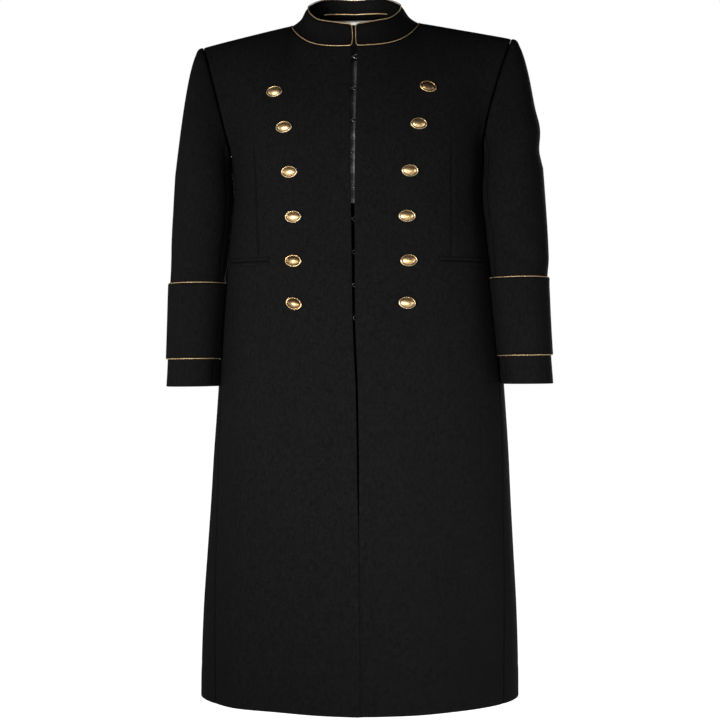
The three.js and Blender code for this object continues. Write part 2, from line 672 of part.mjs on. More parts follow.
// A double-welt pocket on each front: two narrow strips that follow the panel.
function addPockets() {
  for (const side of SIDES) {
    for (const welt of [
      { name: "upper", top: WELT.drop - WELT.split / 2 - WELT.height },
      { name: "lower", top: WELT.drop + WELT.split / 2 },
    ]) {
      const surface = (u, v) => hang(bodyPoint(side, lerp(WELT.from, WELT.to, u), welt.top + WELT.height * v));
      clothPiece(`pocket_welt_${welt.name}_${side.name}`, surface, {
        us: steps(0, 1, 12),
        vs: [0, 1],
        facing: -side.sign,
        outer: SEAM_GAP + WELT.cloth,
        inner: SEAM_GAP,
        material: WOOL,
      });
    }
  }
}

// Finds the place on a front surface whose front view is at x and drop, by Newton's method.
function placeOn(surface, x, drop) {
  let across = 0.3;
  let down = drop < CHEST_DROP ? 0.6 : 1 + (drop - CHEST_DROP) / (HEM_DROP - CHEST_DROP);
  const step = 1e-4;
  for (let round = 0; round < 12; round += 1) {
    const here = surface(across, down);
    const right = surface(across + step, down).sub(here).divideScalar(step);
    const below = surface(across, down + step).sub(here).divideScalar(step);
    const missX = x - here.x;
    const missZ = -drop - here.z;
    const size = right.x * below.z - below.x * right.z;
    across = clamp(across + (missX * below.z - missZ * below.x) / size, 0, 0.95);
    down = clamp(down + (missZ * right.x - missX * right.z) / size, 0, 1.95);
  }
  return { across, down };
}

// A shank button: a domed brass disc with a groove inside its rounded rim.
function buttonGeometry() {
  const profile = [
    { radius: 0, height: 0 },
    { radius: 0.88, height: 0 },
    { radius: 1, height: 0.22 },
    { radius: 0.97, height: 0.5 },
    { radius: 0.85, height: 0.6 },
    { radius: 0.74, height: 0.42 },
    { radius: 0.62, height: 0.72 },
    { radius: 0.36, height: 0.93 },
    { radius: 0, height: 1 },
  ];
  const points = profile.map((p) => new THREE.Vector2(p.radius, p.height * BUTTON.rise));
  const geometry = new THREE.LatheGeometry(points, 14);
  geometry.rotateX(Math.PI / 2);
  geometry.scale(BUTTON.halfWidth, BUTTON.halfHeight, 1);
  return geometry;
}

function addButtons() {
  for (const row of BUTTONS) {
    for (const side of SIDES) {
      const surface = (u, v) => panelPoint(side, true, u, 2 * v);
      const front = (across, down) => surface(across, down / 2);
      const place = placeOn(front, row[`${side.name}X`], row[`${side.name}Drop`]);
      const at = place.down / 2;
      const out = surfaceNormal(surface, place.across, at, -side.sign);
      const seat = surface(place.across, at).addScaledVector(out, BUTTON.seat);
      const button = add(`button_${side.name}_${row.row}`, buttonGeometry(), BRASS);
      button.position.copy(seat);
      const level = new THREE.Vector3(0, 0, 1).cross(out).normalize();
      const up = out.clone().cross(level);
      button.setRotationFromMatrix(new THREE.Matrix4().makeBasis(level, up, out));
    }
  }
}

// A point behind the closure: across it, below the neck, and inside the fronts' outer face.
function closurePoint(x, drop, inside) {
  const side = x < 0 ? RIGHT : LEFT;
  const half = lookUp(FRONT_GAP, "drop", drop, "half");
  const front = (across, down) => straightPanelPoint(side, true, across, down);
  const place = placeOn(front, side.sign * Math.max(Math.abs(x), half), drop);
  return hang(new THREE.Vector3(x, front(place.across, place.down).y + inside, -drop));
}

// The satin strip that shows between the front edges. Its sides lie on the fronts, its middle behind
// the hooks.
function addUnderlap() {
  const seat = CLOTH + SEAM_GAP + UNDERLAP.clear;
  const inside = (x) => lerp(UNDERLAP.deep, seat, smoothstep(Math.abs(x), UNDERLAP.bendStart, UNDERLAP.bendEnd));
  const surface = (u, v) => {
    const x = lerp(-UNDERLAP.half, UNDERLAP.half, u);
    return closurePoint(x, lerp(UNDERLAP.top, UNDERLAP.bottom, v), inside(x));
  };
  clothPiece("front_underlap", surface, {
    us: steps(0, 1, 8),
    vs: steps(0, 1, 8),
    facing: -1,
    outer: 0,
    inner: -UNDERLAP.cloth,
    material: SATIN,
  });
}

// Nine hooks and eyes, fastened: each hook's bent end lies round its eye, behind the fronts.
function addHooks() {
  const eyePath = [
    { x: 9, up: 2.6, inside: 3.4 },
    { x: 4, up: 2.6, inside: 5.2 },
    { x: 0.8, up: 2.4, inside: 5.4 },
    { x: -1, up: 1.4, inside: 5.4 },
    { x: -1.6, up: 0, inside: 5.4 },
    { x: -1, up: -1.4, inside: 5.4 },
    { x: 0.8, up: -2.4, inside: 5.4 },
    { x: 4, up: -2.6, inside: 5.2 },
    { x: 9, up: -2.6, inside: 3.4 },
  ];
  const hookPath = [
    { x: -10, up: 0, inside: 3.4 },
    { x: -6.5, up: 0, inside: 6 },
    { x: -3, up: 0, inside: 6.7 },
    { x: -0.8, up: 0, inside: 6.7 },
    { x: 0.3, up: 0, inside: 5.5 },
    { x: -0.6, up: 0, inside: 4.2 },
    { x: -3, up: 0, inside: 4.1 },
  ];
  for (let i = 0; i < HOOK_ROW.count; i += 1) {
    const drop = HOOK_ROW.first + i * HOOK_ROW.pitch;
    const place = (p) => closurePoint(p.x, drop - p.up, p.inside);
    cordPiece(`eye_${i + 1}`, eyePath.map(place), { ...WIRE, material: BLACK_WIRE, stepCount: 11 });
    cordPiece(`hook_${i + 1}`, hookPath.map(place), { ...WIRE, material: BLACK_WIRE, stepCount: 9 });
  }
}

// The bare label below the back neck seam, and the cord loop that the coat hangs by.
function addBackNeck() {
  const labelSurface = (u, v) => {
    const x = LABEL.shift + lerp(-LABEL.half, LABEL.half, u);
    const side = x < 0 ? RIGHT : LEFT;
    const across = (Math.abs(degree(Math.asin(x / NECK.halfWidth))) / 90) * BACK_YOKE.neckShare;
    const point = straightPanelPoint(side, false, Math.max(across, 1e-4), lerp(LABEL.top, LABEL.bottom, v));
    return hang(new THREE.Vector3(x, point.y, point.z));
  };
  clothPiece("neck_label", labelSurface, {
    us: steps(0, 1, 10),
    vs: steps(0, 1, 4),
    facing: 1,
    outer: -LABEL.inside,
    inner: -LABEL.inside - LABEL.cloth,
    material: LABEL_CLOTH,
  });
  const middleRadius = (NECK.halfWidth + COLLAR.topHalfWidth) / 2;
  const halfTurn = degree(Math.asin(HANGER_LOOP.half / middleRadius)) / 360;
  const inside = -COLLAR.cloth - HANGER_LOOP.radius - HANGER_LOOP.clear;
  const points = steps(0.5 - halfTurn, 0.5 + halfTurn, 14).map((u) =>
    offsetPoint(collarPoint, u, HANGER_LOOP.height, -1, inside));
  cordPiece("hanger_loop", points, {
    radius: HANGER_LOOP.radius,
    sides: 8,
    material: GOLD_CORD,
    stepCount: 18,
  });
}

addPanels();
addSleeves();
addCuffs();
addCollar();
addPockets();
addButtons();
addUnderlap();
addHooks();
addBackNeck();

export default coat;
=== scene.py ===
"""Military overcoat in heavy wool, filled out as it hangs, dressed round its solid frame.

Sizes in the tables are millimetres, as a tailor would note them, and every mesh is made in metres. The
origin lies midway between the side neck points, +Z is up, and the coat's front faces -Y. The wearer's
right is on -X."""

import math
from collections import namedtuple

import bmesh
import bpy
import numpy as np
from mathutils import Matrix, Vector


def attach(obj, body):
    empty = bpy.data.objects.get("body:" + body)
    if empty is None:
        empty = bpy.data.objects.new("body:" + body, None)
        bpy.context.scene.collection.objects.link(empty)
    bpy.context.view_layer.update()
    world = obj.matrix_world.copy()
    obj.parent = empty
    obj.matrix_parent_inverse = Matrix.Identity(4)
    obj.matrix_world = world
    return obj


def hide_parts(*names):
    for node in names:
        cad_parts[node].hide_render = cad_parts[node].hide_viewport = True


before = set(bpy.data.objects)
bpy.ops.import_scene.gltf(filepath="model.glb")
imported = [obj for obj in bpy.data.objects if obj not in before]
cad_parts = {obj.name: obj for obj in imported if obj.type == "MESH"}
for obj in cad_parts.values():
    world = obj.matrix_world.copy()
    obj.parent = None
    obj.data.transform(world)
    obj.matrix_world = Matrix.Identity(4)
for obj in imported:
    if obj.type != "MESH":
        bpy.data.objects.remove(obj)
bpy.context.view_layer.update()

bl_info = {
    "name": "Military overcoat",
    "version": (1, 0, 0),
    "blender": (4, 5, 0),
    "location": "View3D > Sidebar > Overcoat",
    "description": "Builds a filled-out wool overcoat with piping, brass buttons and a hooked front",
    "category": "Add Mesh",
}

MM = 0.001
PHOTO_PIXELS = 720

Side = namedtuple("Side", "name sign arm_in forward near slim")
RIGHT = Side("right", -1, -4, 0, 0, 0)
LEFT = Side("left", 1, 7, 15, 1.5, 4)
SIDES = (RIGHT, LEFT)


def table(columns, *rows):
    """A table whose columns are read by name, ordered by its first column."""
    data = np.array(rows, dtype=float)
    return {name: data[:, i] for i, name in enumerate(columns.split())}


# The coat's driving sizes
NECK = {"half_width": 92, "front": 92, "back": 75, "front_drop": 45, "back_rise": 19,
        "roundness": 4.3, "slant": 0.5}
SHOULDER = {"reach": 223, "drop": 27}
CHEST_DROP = 195
HEM_DROP = 975
HEM_SIDE_LIFT = 4
HEM_LIFT_DROP = HEM_DROP - 90

# Body sections: half the width, the front and back depths, the roundness and the side seam's angle
BODY = table(
    "drop width front back power seam",
    (160, 190, 124, 112, 2.3, 79),
    (187, 186, 125, 112, 2.3, 79),
    (218, 182, 125, 109, 2.3, 78),
    (245, 180, 125, 107, 2.3, 78),
    (283, 184, 126, 108, 2.3, 77),
    (342, 191, 129, 112, 2.3, 76),
    (413, 198, 133, 118, 2.25, 75),
    (470, 203.2, 136.5, 122.5, 2.22, 74),
    (530, 207, 140, 127, 2.2, 73),
    (616, 213, 145, 133, 2.15, 71),
    (689, 217, 149, 138, 2.1, 69),
    (762, 221.5, 153, 142, 2.1, 67),
    (834, 226, 157, 146, 2.05, 65),
    (906, 228.7, 161, 149, 2, 63.5),
    (975, 229.5, 165, 151, 2, 62),
)
FRONT_LAP = {"depth": 1.45, "width": 1.6}
FRONT_GAP = table("drop half", (40, 3.4), (205, 2.9), (254, 2), (420, 1.2), (975, 0.9))

# How the coat hangs: a sideways shift, a turn about Z and a tilt of the shoulders, in degrees
HANG = table(
    "drop shift turn tilt arm_tilt",
    (-48, -5.6, -1.5, 0.3, 0.3),
    (0, -3, -2, 1, 1),
    (50, 0.5, -3.2, 1.3, 1.3),
    (160, 1.5, -3.8, 0.9, 1.1),
    (250, 2, -4, 0.1, 0.9),
    (342, 3, -3.9, 0, 0.8),
    (430, 4.2, -3.9, 0, 0.8),
    (530, 5.5, -2.6, 0, 0.5),
    (640, 5.2, -1.7, 0, 0.8),
    (834, 3.8, -0.6, 0, 0.8),
    (975, 3.3, -0.2, 0, 0.8),
)

# Control vectors of the cloth over the shoulders, from the centre edge to the armhole
FRONT_YOKE = {
    "neck_share": 0.34,
    "lead": table("across x y z", (0, 0, -10, -45), (0.17, 12, -26, -32), (0.26, 18, -34, -24),
                  (0.32, 14, -50, -8), (0.34, 6, -58, -1.5), (0.67, 0, -58, 0), (1, -2, -46, 0)),
    "rise": table("across x y z", (0, 0, 2, 60), (0.67, 0, 0, 75), (0.85, 1, -8, 62), (1, -4, -38, 24)),
}
BACK_YOKE = {
    "neck_share": 0.27,
    "lead": table("across x y z", (0, 0, 18, -36), (0.14, 8, 31, -20), (0.22, 9, 42, -9),
                  (0.27, 5, 49, -1.5), (0.6, 0, 52, 0), (1, -2, 46, 0)),
    "rise": table("across x y z", (0, 0, 4, 80), (0.6, 0, 2, 84), (0.85, 1, 16, 66), (1, -1, 70, 30)),
}

# Soft troughs of the body, and ridges where depth is negative. Angles run from the centre front,
# negative on the wearer's right.
BODY_FOLDS = table(
    "start end top bottom width depth",
    (-12, -32, 500, 1060, 11, 5),
    (-44, -50, 560, 1060, 9, -4),
    (40, 45, 600, 940, 13, 5),
    (22, 20, 620, 1060, 9, -3),
    (150, 146, 420, 1060, 11, 9),
    (124, 120, 500, 1060, 10, -6),
    (-152, -149, 400, 1060, 12, 10),
    (-126, -120, 520, 1060, 10, -5),
    (100, 104, 560, 1060, 8, 5),
    (-101, -104, 540, 1060, 8, 6),
)

# The shares of a trough's length within which it has faded in, and from which it fades out
FOLD_FADE = {"in": 0.55, "out": 0.85}

# The sleeve's level sections: where its outer, inner and middle lines lie, and half its depth
SLEEVE = table(
    "drop outer inner middle depth",
    (215, 266, 189, -8, 62),
    (254, 268.5, 187, -9, 61),
    (300, 271, 190.5, -12, 59),
    (342, 272.5, 195.5, -16, 57),
    (372, 273.5, 198.5, -19, 56),
    (428, 275, 204, -24, 54),
    (485, 277, 208.5, -28, 52),
    (521, 279, 210.5, -30, 51),
)
ARM_DROP = 215
CUFF_DROP = 521
# How a sleeve rests on the body: it may be pulled out so far, stays so far clear, and its cap leans out
SLEEVE_REST = {"pull": 8, "clear": 1.3, "band_clear": 4.6, "lean": 0.124}
# Between which drops a sleeve grows slim and swings forward
SLIM_DROPS = (340, 390)
SWING_DROPS = (60, 380)
SLEEVE_SEAMS = {"front": 144, "back": 234}
SLEEVE_HEAD = table(
    "angle x y z reach",
    (0, 19, 0, 2, 112),
    (45, 19, -7, -8, 90),
    (90, 13, -9, -14, 62),
    (135, 7, -4, -8, 16),
    (180, 2, 0, -3, 4),
    (225, 12, 5, -5, 14),
    (270, 20, 10, -9, 55),
    (315, 19, 7, -8, 90),
    (360, 19, 0, 2, 112),
)
# Sleeve folds: side is -1 for the right, angle is round the arm from its outer side over the front
SLEEVE_FOLDS = table(
    "side angle drop round along slant depth",
    (1, 0, 152, 70, 20, 0.15, -3),
    (1, 0, 188, 60, 16, 0.1, 2.5),
    (1, 120, 322, 50, 15, -0.5, 4),
    (-1, 110, 345, 45, 16, -0.4, 3),
    (-1, 300, 330, 60, 20, 0.3, 3),
    (1, 290, 345, 60, 20, 0.3, 3),
)
# Small creases that only the surface shows, in the same columns
SLEEVE_CREASES = table(
    "side angle drop round along slant depth",
    (1, 75, 288, 34, 9, -0.55, 1.6),
    (1, 60, 352, 40, 10, -0.3, 1.1),
    (-1, 70, 298, 36, 10, 0.45, 1.4),
    (-1, 60, 350, 38, 9, 0.35, 1),
    (1, 60, 120, 26, 9, 0.5, 1),
    (-1, 60, 118, 26, 9, 0.5, 1),
    (1, 250, 300, 40, 10, 0.4, 1.8),
    (-1, 250, 310, 40, 10, 0.4, 1.7),
    (1, 200, 352, 40, 9, 0.2, 1.4),
    (-1, 205, 345, 40, 9, 0.2, 1.4),
)

COLLAR = {"half_width": 67, "front": 80, "back": 63, "gap": 5, "cloth": 2.6, "tuck": 0.06}
COLLAR_HEIGHT = table("angle height", (0, 31.5), (30, 34), (58, 27.5), (80, 24), (105, 29), (180, 27))
COLLAR_LEAN = table("rise lean", (0, 0), (0.15, 0.3), (0.35, 0.57), (0.6, 0.74), (0.85, 0.87), (1, 1))
CORNER = {"top": 6, "bottom": 5}
CUFF_BAND = {"top": 374, "bottom": 480, "clear": 0.7, "cloth": 2.2}
WELT = {"drop": 348, "height": 5.7, "split": 0.6, "from": 35.5, "to": 69, "cloth": 1.7}
DARTS = table("drop right left", (165, 143.5, 136.5), (278, 138.5, 136), (342, 135.5, 134.7))
# The tone columns darken single buttons, most of all those that lean, as a painted shade.
BUTTONS = table(
    "row right_x right_drop left_x left_drop right_lean left_lean right_tone left_tone",
    (1, -116.4, 108.6, 98.6, 103.8, 0, 12, 0, 0.5),
    (2, -102.2, 160.7, 84.9, 157.6, 0, 0, 0, 0.1),
    (3, -94.5, 223.6, 72.6, 223.2, 0, 0, 0, 0),
    (4, -88.9, 286.6, 68.5, 286.3, 0, 0, 0, 0),
    (5, -88.7, 348.2, 70.9, 348.1, 4, -4, 0.4, 0.1),
    (6, -87.7, 407.7, 68.5, 407, 17, 4, 0.45, 0.1),
)
BUTTON = {"rise": 5.2, "seat": 0.35}
HOOKS = {"count": 9, "first": 60, "pitch": 46, "wire": 0.5}
UNDERLAP = {"top": 66, "bottom": 268, "half": 15, "deep": 8.4, "cloth": 1}
LABEL = {"half": 30, "shift": -5, "top": 0.006, "bottom": 0.06, "inside": 4.1, "cloth": 0.8, "lift": 2}
LOOP = {"half": 50, "height": 0.34, "radius": 1.5}
SEAM_GAP = 0.3


def smoothstep(x, low, high):
    """Rises softly from 0 at low to 1 at high."""
    t = np.clip((np.asarray(x, dtype=float) - low) / (high - low), 0, 1)
    return t * t * (3 - 2 * t)


def bell(distance):
    """Falls softly from 1 at no distance, to about a third at 1."""
    return np.exp(-np.square(distance))


def lerp(a, b, t):
    return a + (b - a) * t


def look_up(rows, where, column):
    """Reads a column of a table between its rows, on a smooth curve through them, by its first column."""
    keys, values = rows[next(iter(rows))], rows[column]
    place = np.clip(where, keys[0], keys[-1])
    i = np.clip(np.searchsorted(keys, place) - 1, 0, len(keys) - 2)
    k = np.arange(len(keys))
    before, after = np.maximum(k - 1, 0), np.minimum(k + 1, len(keys) - 1)
    slopes = (values[after] - values[before]) / (keys[after] - keys[before])
    span = keys[i + 1] - keys[i]
    t = (place - keys[i]) / span
    hold = (1 + 2 * t) * (1 - t) ** 2
    leave = t * (1 - t) ** 2 * span
    arrive = t * t * (t - 1) * span
    return hold * values[i] + leave * slopes[i] + (1 - hold) * values[i + 1] + arrive * slopes[i + 1]


def point(x, y, z):
    return np.stack(np.broadcast_arrays(x, y, z), axis=-1).astype(float)


def vector_at(rows, where, sign):
    """Reads x, y and z from a table, with x turned to a side's sign."""
    return point(*(scale * look_up(rows, where, column)
                   for scale, column in ((sign, "x"), (1, "y"), (1, "z"))))


def hang(p, tilt="tilt"):
    """Gives points of the straight coat their place on the coat as it hangs."""
    drop = -p[..., 2]
    turn = np.radians(look_up(HANG, drop, "turn"))
    lift = p[..., 0] * np.tan(np.radians(look_up(HANG, drop, tilt)))
    x = p[..., 0] * np.cos(turn) - p[..., 1] * np.sin(turn) + look_up(HANG, drop, "shift")
    return point(x, p[..., 0] * np.sin(turn) + p[..., 1] * np.cos(turn), p[..., 2] + lift)


def body_depth(is_front, drop):
    """How far the body's sections reach forwards or back."""
    return np.where(is_front, look_up(BODY, drop, "front"), look_up(BODY, drop, "back"))


def body_fold_depth(side, angle, drop):
    """How deep the body's troughs are at an angle and a drop. Each fades in downwards."""
    depth = 0
    for start, end, top, bottom, width, fold in zip(*BODY_FOLDS.values()):
        along = (drop - top) / (bottom - top)
        strength = smoothstep(along, 0, FOLD_FADE["in"]) * (1 - smoothstep(along, FOLD_FADE["out"], 1))
        depth = depth + fold * strength * bell((side.sign * angle - lerp(start, end, along)) / width)
    return depth


def body_point(side, angle, drop):
    """A point on the body below the chest line, at an angle from the centre front."""
    turn = np.radians(angle)
    power = 2 / look_up(BODY, drop, "power")
    across = np.sin(turn) ** power
    along = np.sign(np.cos(turn)) * np.abs(np.cos(turn)) ** power
    depth = body_depth(along > 0, drop)
    push = body_fold_depth(side, angle, drop)
    lift = HEM_SIDE_LIFT * across * smoothstep(drop, HEM_LIFT_DROP, HEM_DROP)
    width = look_up(BODY, drop, "width")
    return point(side.sign * across * (width - push), -along * (depth - push), lift - drop)


def angle_at(x, drop):
    """The body angle at which a section reaches x."""
    ratio = x / look_up(BODY, drop, "width")
    return np.degrees(np.arcsin(ratio ** (look_up(BODY, drop, "power") / 2)))


def neck_point(side, angle):
    """The neck seam, by the angle from the centre front."""
    turn = np.radians(angle)
    along = np.cos(turn)
    is_front = along > 0
    bend = 1 - np.abs(np.sin(turn)) ** NECK["roundness"]
    slope = lerp(bend, along, NECK["slant"])
    return point(
        side.sign * NECK["half_width"] * np.sin(turn),
        -along * np.where(is_front, NECK["front"], NECK["back"]),
        np.where(is_front, -NECK["front_drop"] * slope, NECK["back_rise"] * bend),
    )


def bezier(p0, p1, p2, p3, t):
    t = np.asarray(t)[..., None]
    s = 1 - t
    return p0 * s**3 + 3 * p1 * s * s * t + 3 * p2 * s * t * t + p3 * t**3


def top_edge(side, is_front, across):
    """A panel's top edge: the neck seam up to the panel's neck share, then the shoulder seam."""
    share = (FRONT_YOKE if is_front else BACK_YOKE)["neck_share"]
    start = math.degrees(math.asin(FRONT_GAP["half"][0] / NECK["half_width"])) if is_front else 180
    neck = neck_point(side, lerp(start, 90, np.clip(across / share, 0, 1)))
    t = np.clip((across - share) / (1 - share), 0, 1)
    shoulder = point(side.sign * lerp(NECK["half_width"], SHOULDER["reach"], t), 0 * t, -SHOULDER["drop"] * t)
    return np.where((across <= share)[..., None], neck, shoulder)


def panel_angle(is_front, across, drop):
    """The body angle of a panel's point, from its centre edge to the side seam."""
    start = angle_at(look_up(FRONT_GAP, drop, "half"), drop) if is_front else 180
    return lerp(start, look_up(BODY, drop, "seam"), across)


# A panel's points are averaged with their neighbours across: how far, between which shares of the way down
# to the chest, and with which weight and shift each
EASING = {"reach": 0.11, "full": 0.35, "leave": 0.8}
EASING_WEIGHTS = ((0.11, -1), (0.23, -0.5), (0.32, 0), (0.23, 0.5), (0.11, 1))


def straight_panel(side, is_front, across, down):
    """Panel points before the coat hangs, eased below the corner where neck and shoulder seams meet."""
    across, down = np.broadcast_arrays(np.asarray(across, float), np.asarray(down, float))
    room = np.minimum(across, 1 - across)
    strength = smoothstep(down, 0, EASING["full"]) * (1 - smoothstep(down, EASING["leave"], 1))
    reach = np.minimum(EASING["reach"] * strength, room)
    return sum(weight * drawn_panel(side, is_front, across + shift * reach, down)
               for weight, shift in EASING_WEIGHTS)


def drawn_panel(side, is_front, across, down):
    """Panel points as drafted. down is 0 at the top edge, 1 at the chest and 2 at the hem."""
    across, down = np.broadcast_arrays(np.asarray(across, float), np.asarray(down, float))
    drop = lerp(CHEST_DROP, HEM_DROP, np.clip(down - 1, 0, 1))
    below = body_point(side, panel_angle(is_front, across, drop), drop)
    yoke = FRONT_YOKE if is_front else BACK_YOKE
    top = top_edge(side, is_front, across)
    chest_drop = np.full_like(across, CHEST_DROP)
    chest = body_point(side, panel_angle(is_front, across, chest_drop), chest_drop)
    lead = top + vector_at(yoke["lead"], across, side.sign)
    rise = chest + vector_at(yoke["rise"], across, side.sign)
    if is_front:
        rise[..., 0] -= side.sign * side.arm_in * across**4
    above = bezier(top, lead, rise, chest, np.clip(down, 0, 1))
    return np.where((down >= 1)[..., None], below, above)


def panel(side, is_front, across, down):
    """Panel points of the coat as it hangs."""
    return hang(straight_panel(side, is_front, across, down))


def sleeve_fold_depth(side, angle, drop, rows=SLEEVE_FOLDS):
    """How deep a sleeve's folds are at an angle round the arm and a drop."""
    depth = 0
    for who, middle, at, around, along, slant, fold in zip(*rows.values()):
        if who == side.sign:
            off = (angle - middle + 540) % 360 - 180
            depth = depth + fold * bell(off / around) * bell((drop - at - slant * off) / along)
    return depth


def body_half_width(y, drop):
    """How far the body's side reaches at a depth y, before it hangs."""
    power = look_up(BODY, drop, "power")
    outward = np.minimum(np.abs(y) / body_depth(y < 0, drop), 1)
    return look_up(BODY, drop, "width") * (1 - outward ** power) ** (1 / power)


def arm(side, angle, drop):
    """Points of the sleeve's level sections, from the arm's top section to the cuff."""
    turn = np.radians(angle)
    inner = look_up(SLEEVE, drop, "inner") - side.near
    outer = look_up(SLEEVE, drop, "outer") - side.slim * smoothstep(drop, *SLIM_DROPS)
    half = (outer - inner) / 2
    push = sleeve_fold_depth(side, angle, drop)
    middle = look_up(SLEEVE, drop, "middle") - side.forward * smoothstep(drop, *SWING_DROPS)
    x = inner + half + (half - push) * np.cos(turn)
    y = middle - (look_up(SLEEVE, drop, "depth") - push) * np.sin(turn)
    top, bottom = CUFF_BAND["top"], CUFF_BAND["bottom"]
    at_band = smoothstep(drop, top - 24, top - 6) * (1 - smoothstep(drop, bottom - 2, bottom + 4))
    rest = body_half_width(y, drop) + lerp(SLEEVE_REST["clear"], SLEEVE_REST["band_clear"], at_band)
    pull = SLEEVE_REST["pull"] * smoothstep(-np.cos(turn), -0.3, 0.7)
    x = np.minimum(x, np.maximum(x - pull, rest))
    return hang(point(side.sign * x, y, -drop + 0 * turn), "arm_tilt")


def sleeve(side, angle, down):
    """Sleeve points. down is 0 at the armhole, 1 at the arm's top section and 2 at the cuff's edge."""
    angle, down = np.broadcast_arrays(np.asarray(angle, float) % 360, np.asarray(down, float))
    below = arm(side, angle, lerp(ARM_DROP, CUFF_DROP, np.clip(down - 1, 0, 1)))
    is_front = angle <= 180
    around = np.where(is_front, angle, 360 - angle) / 180
    edge = np.ones_like(around)
    start = np.where(is_front[..., None], panel(side, True, edge, around), panel(side, False, edge, around))
    section = arm(side, angle, np.full_like(angle, ARM_DROP))
    reach = look_up(SLEEVE_HEAD, angle, "reach")
    outward = point(side.sign * np.cos(np.radians(angle)), -np.sin(np.radians(angle)), 0)
    above = section + point(
        -side.sign * SLEEVE_REST["lean"] * reach * np.maximum(np.cos(np.radians(angle)), 0), 0, reach)
    head = vector_at(SLEEVE_HEAD, angle, side.sign) + start
    cap = bezier(start, head, above, section, np.clip(down, 0, 1))
    push = sleeve_fold_depth(side, angle, -cap[..., 2]) * smoothstep(down, 0, 0.4)
    return np.where((down >= 1)[..., None], below, cap - outward * push[..., None])


def collar(u, v):
    """Collar points. u runs from the right front edge round the back to the left, v up from the seam."""
    u, v = np.broadcast_arrays(np.asarray(u, float), np.asarray(v, float))
    toward_front = np.abs(2 * u - 1)
    half_gap = COLLAR["gap"] / 2
    angle = lerp(180, math.degrees(math.asin(half_gap / NECK["half_width"])), toward_front)
    seam = neck_point(RIGHT, angle)
    along = np.cos(np.radians(angle))
    wide = np.abs(seam[..., 0])
    share = (wide - half_gap) / (NECK["half_width"] - half_gap)
    narrow = half_gap + (COLLAR["half_width"] - half_gap) * share
    edge = (1 - toward_front) * math.pi * NECK["front"]

    def corner(radius):
        inside = np.clip(radius - edge, 0, radius)
        return radius - np.sqrt(radius * radius - inside * inside)

    height = look_up(COLLAR_HEIGHT, angle, "height")
    rise = lerp(corner(CORNER["bottom"]) / height, 1 - corner(CORNER["top"]) / height, v)
    leaned = look_up(COLLAR_LEAN, rise, "lean")
    return hang(point(
        np.where(u < 0.5, -1, 1) * lerp(wide, narrow, leaned),
        lerp(seam[..., 1], -along * np.where(along > 0, COLLAR["front"], COLLAR["back"]), leaned),
        seam[..., 2] + height * rise,
    ))


def normals_on(surface, u, v, facing, step=0.002):
    """Outward unit normals of a surface(u, v) whose parameters run from 0 to 1."""
    u0, v0 = np.clip(u, step, 1 - step), np.clip(v, step, 1 - step)
    along_u = surface(u0 + step, v0) - surface(u0 - step, v0)
    along_v = surface(u0, v0 + step) - surface(u0, v0 - step)
    normal = np.cross(along_u, along_v) * facing
    return normal / np.linalg.norm(normal, axis=-1, keepdims=True)


def place_on_front(side, x, drop, is_hung=True):
    """Finds where a front's own view has x and drop, by Newton's method. Returns across and down."""
    surface = panel if is_hung else straight_panel
    x, drop = np.broadcast_arrays(np.asarray(x, float), np.asarray(drop, float))
    rounds, step, across_limit, down_limit = 12, 1e-4, 0.95, 1.95
    across = np.full(x.shape, 0.3)
    down = np.where(drop < CHEST_DROP, 0.6, 1 + (drop - CHEST_DROP) / (HEM_DROP - CHEST_DROP))
    for _ in range(rounds):
        here = surface(side, True, across, down)
        right = (surface(side, True, across + step, down) - here) / step
        below = (surface(side, True, across, down + step) - here) / step
        miss_x, miss_z = x - here[..., 0], -drop - here[..., 2]
        size = right[..., 0] * below[..., 2] - below[..., 0] * right[..., 2]
        across = np.clip(across + (miss_x * below[..., 2] - miss_z * below[..., 0]) / size, 0, across_limit)
        down = np.clip(down + (miss_z * right[..., 0] - miss_x * right[..., 2]) / size, 0, down_limit)
    return across, down


def closure_points(x, drop, inside):
    """Points behind the closure: across it, below the neck, and inside the fronts' outer face."""
    x, drop, inside = np.broadcast_arrays(*(np.asarray(v, float) for v in (x, drop, inside)))
    reach = np.maximum(np.abs(x), look_up(FRONT_GAP, drop, "half"))
    depth = {}
    for side in SIDES:
        across, down = place_on_front(side, side.sign * reach, drop, is_hung=False)
        depth[side] = straight_panel(side, True, across, down)[..., 1]
    y = np.where(x < 0, depth[RIGHT], depth[LEFT]) + inside
    return hang(point(x, y, -drop))


def grid_normals(p, facing, is_ring=False):
    """Outward unit normals of a grid of points, by rows (v) and columns (u)."""
    if is_ring:
        along_u = np.roll(p, -1, axis=1) - np.roll(p, 1, axis=1)
    else:
        along_u = np.gradient(p, axis=1)
    along_v = np.gradient(p, axis=0)
    normal = np.cross(along_u, along_v) * facing
    return normal / np.linalg.norm(normal, axis=-1, keepdims=True)


def distances(p):
    """Distances along the cloth from each of a grid's four edges: start, end, top and bottom."""
    across = np.linalg.norm(np.diff(p, axis=1), axis=-1)
    down = np.linalg.norm(np.diff(p, axis=0), axis=-1)
    start = np.concatenate([np.zeros((p.shape[0], 1)), np.cumsum(across, axis=1)], axis=1)
    top = np.concatenate([np.zeros((1, p.shape[1])), np.cumsum(down, axis=0)], axis=0)
    return {"start": start, "end": start[:, -1:] - start, "top": top, "bottom": top[-1:] - top}


def spread(count, *crowds):
    """Values from 0 to 1, crowded round each (middle, width, strength)."""
    fine = np.linspace(0, 1, 2000)
    weight = np.ones_like(fine)
    for middle, width, strength in crowds:
        weight += strength * bell((fine - middle) / width)
    total = np.concatenate([[0], np.cumsum((weight[1:] + weight[:-1]) / 2)])
    return np.interp(np.linspace(0, total[-1], count + 1), total, fine)


# Meshes
def new_object(name, mesh):
    obj = bpy.data.objects.new(name, mesh)
    bpy.context.scene.collection.objects.link(obj)
    return obj


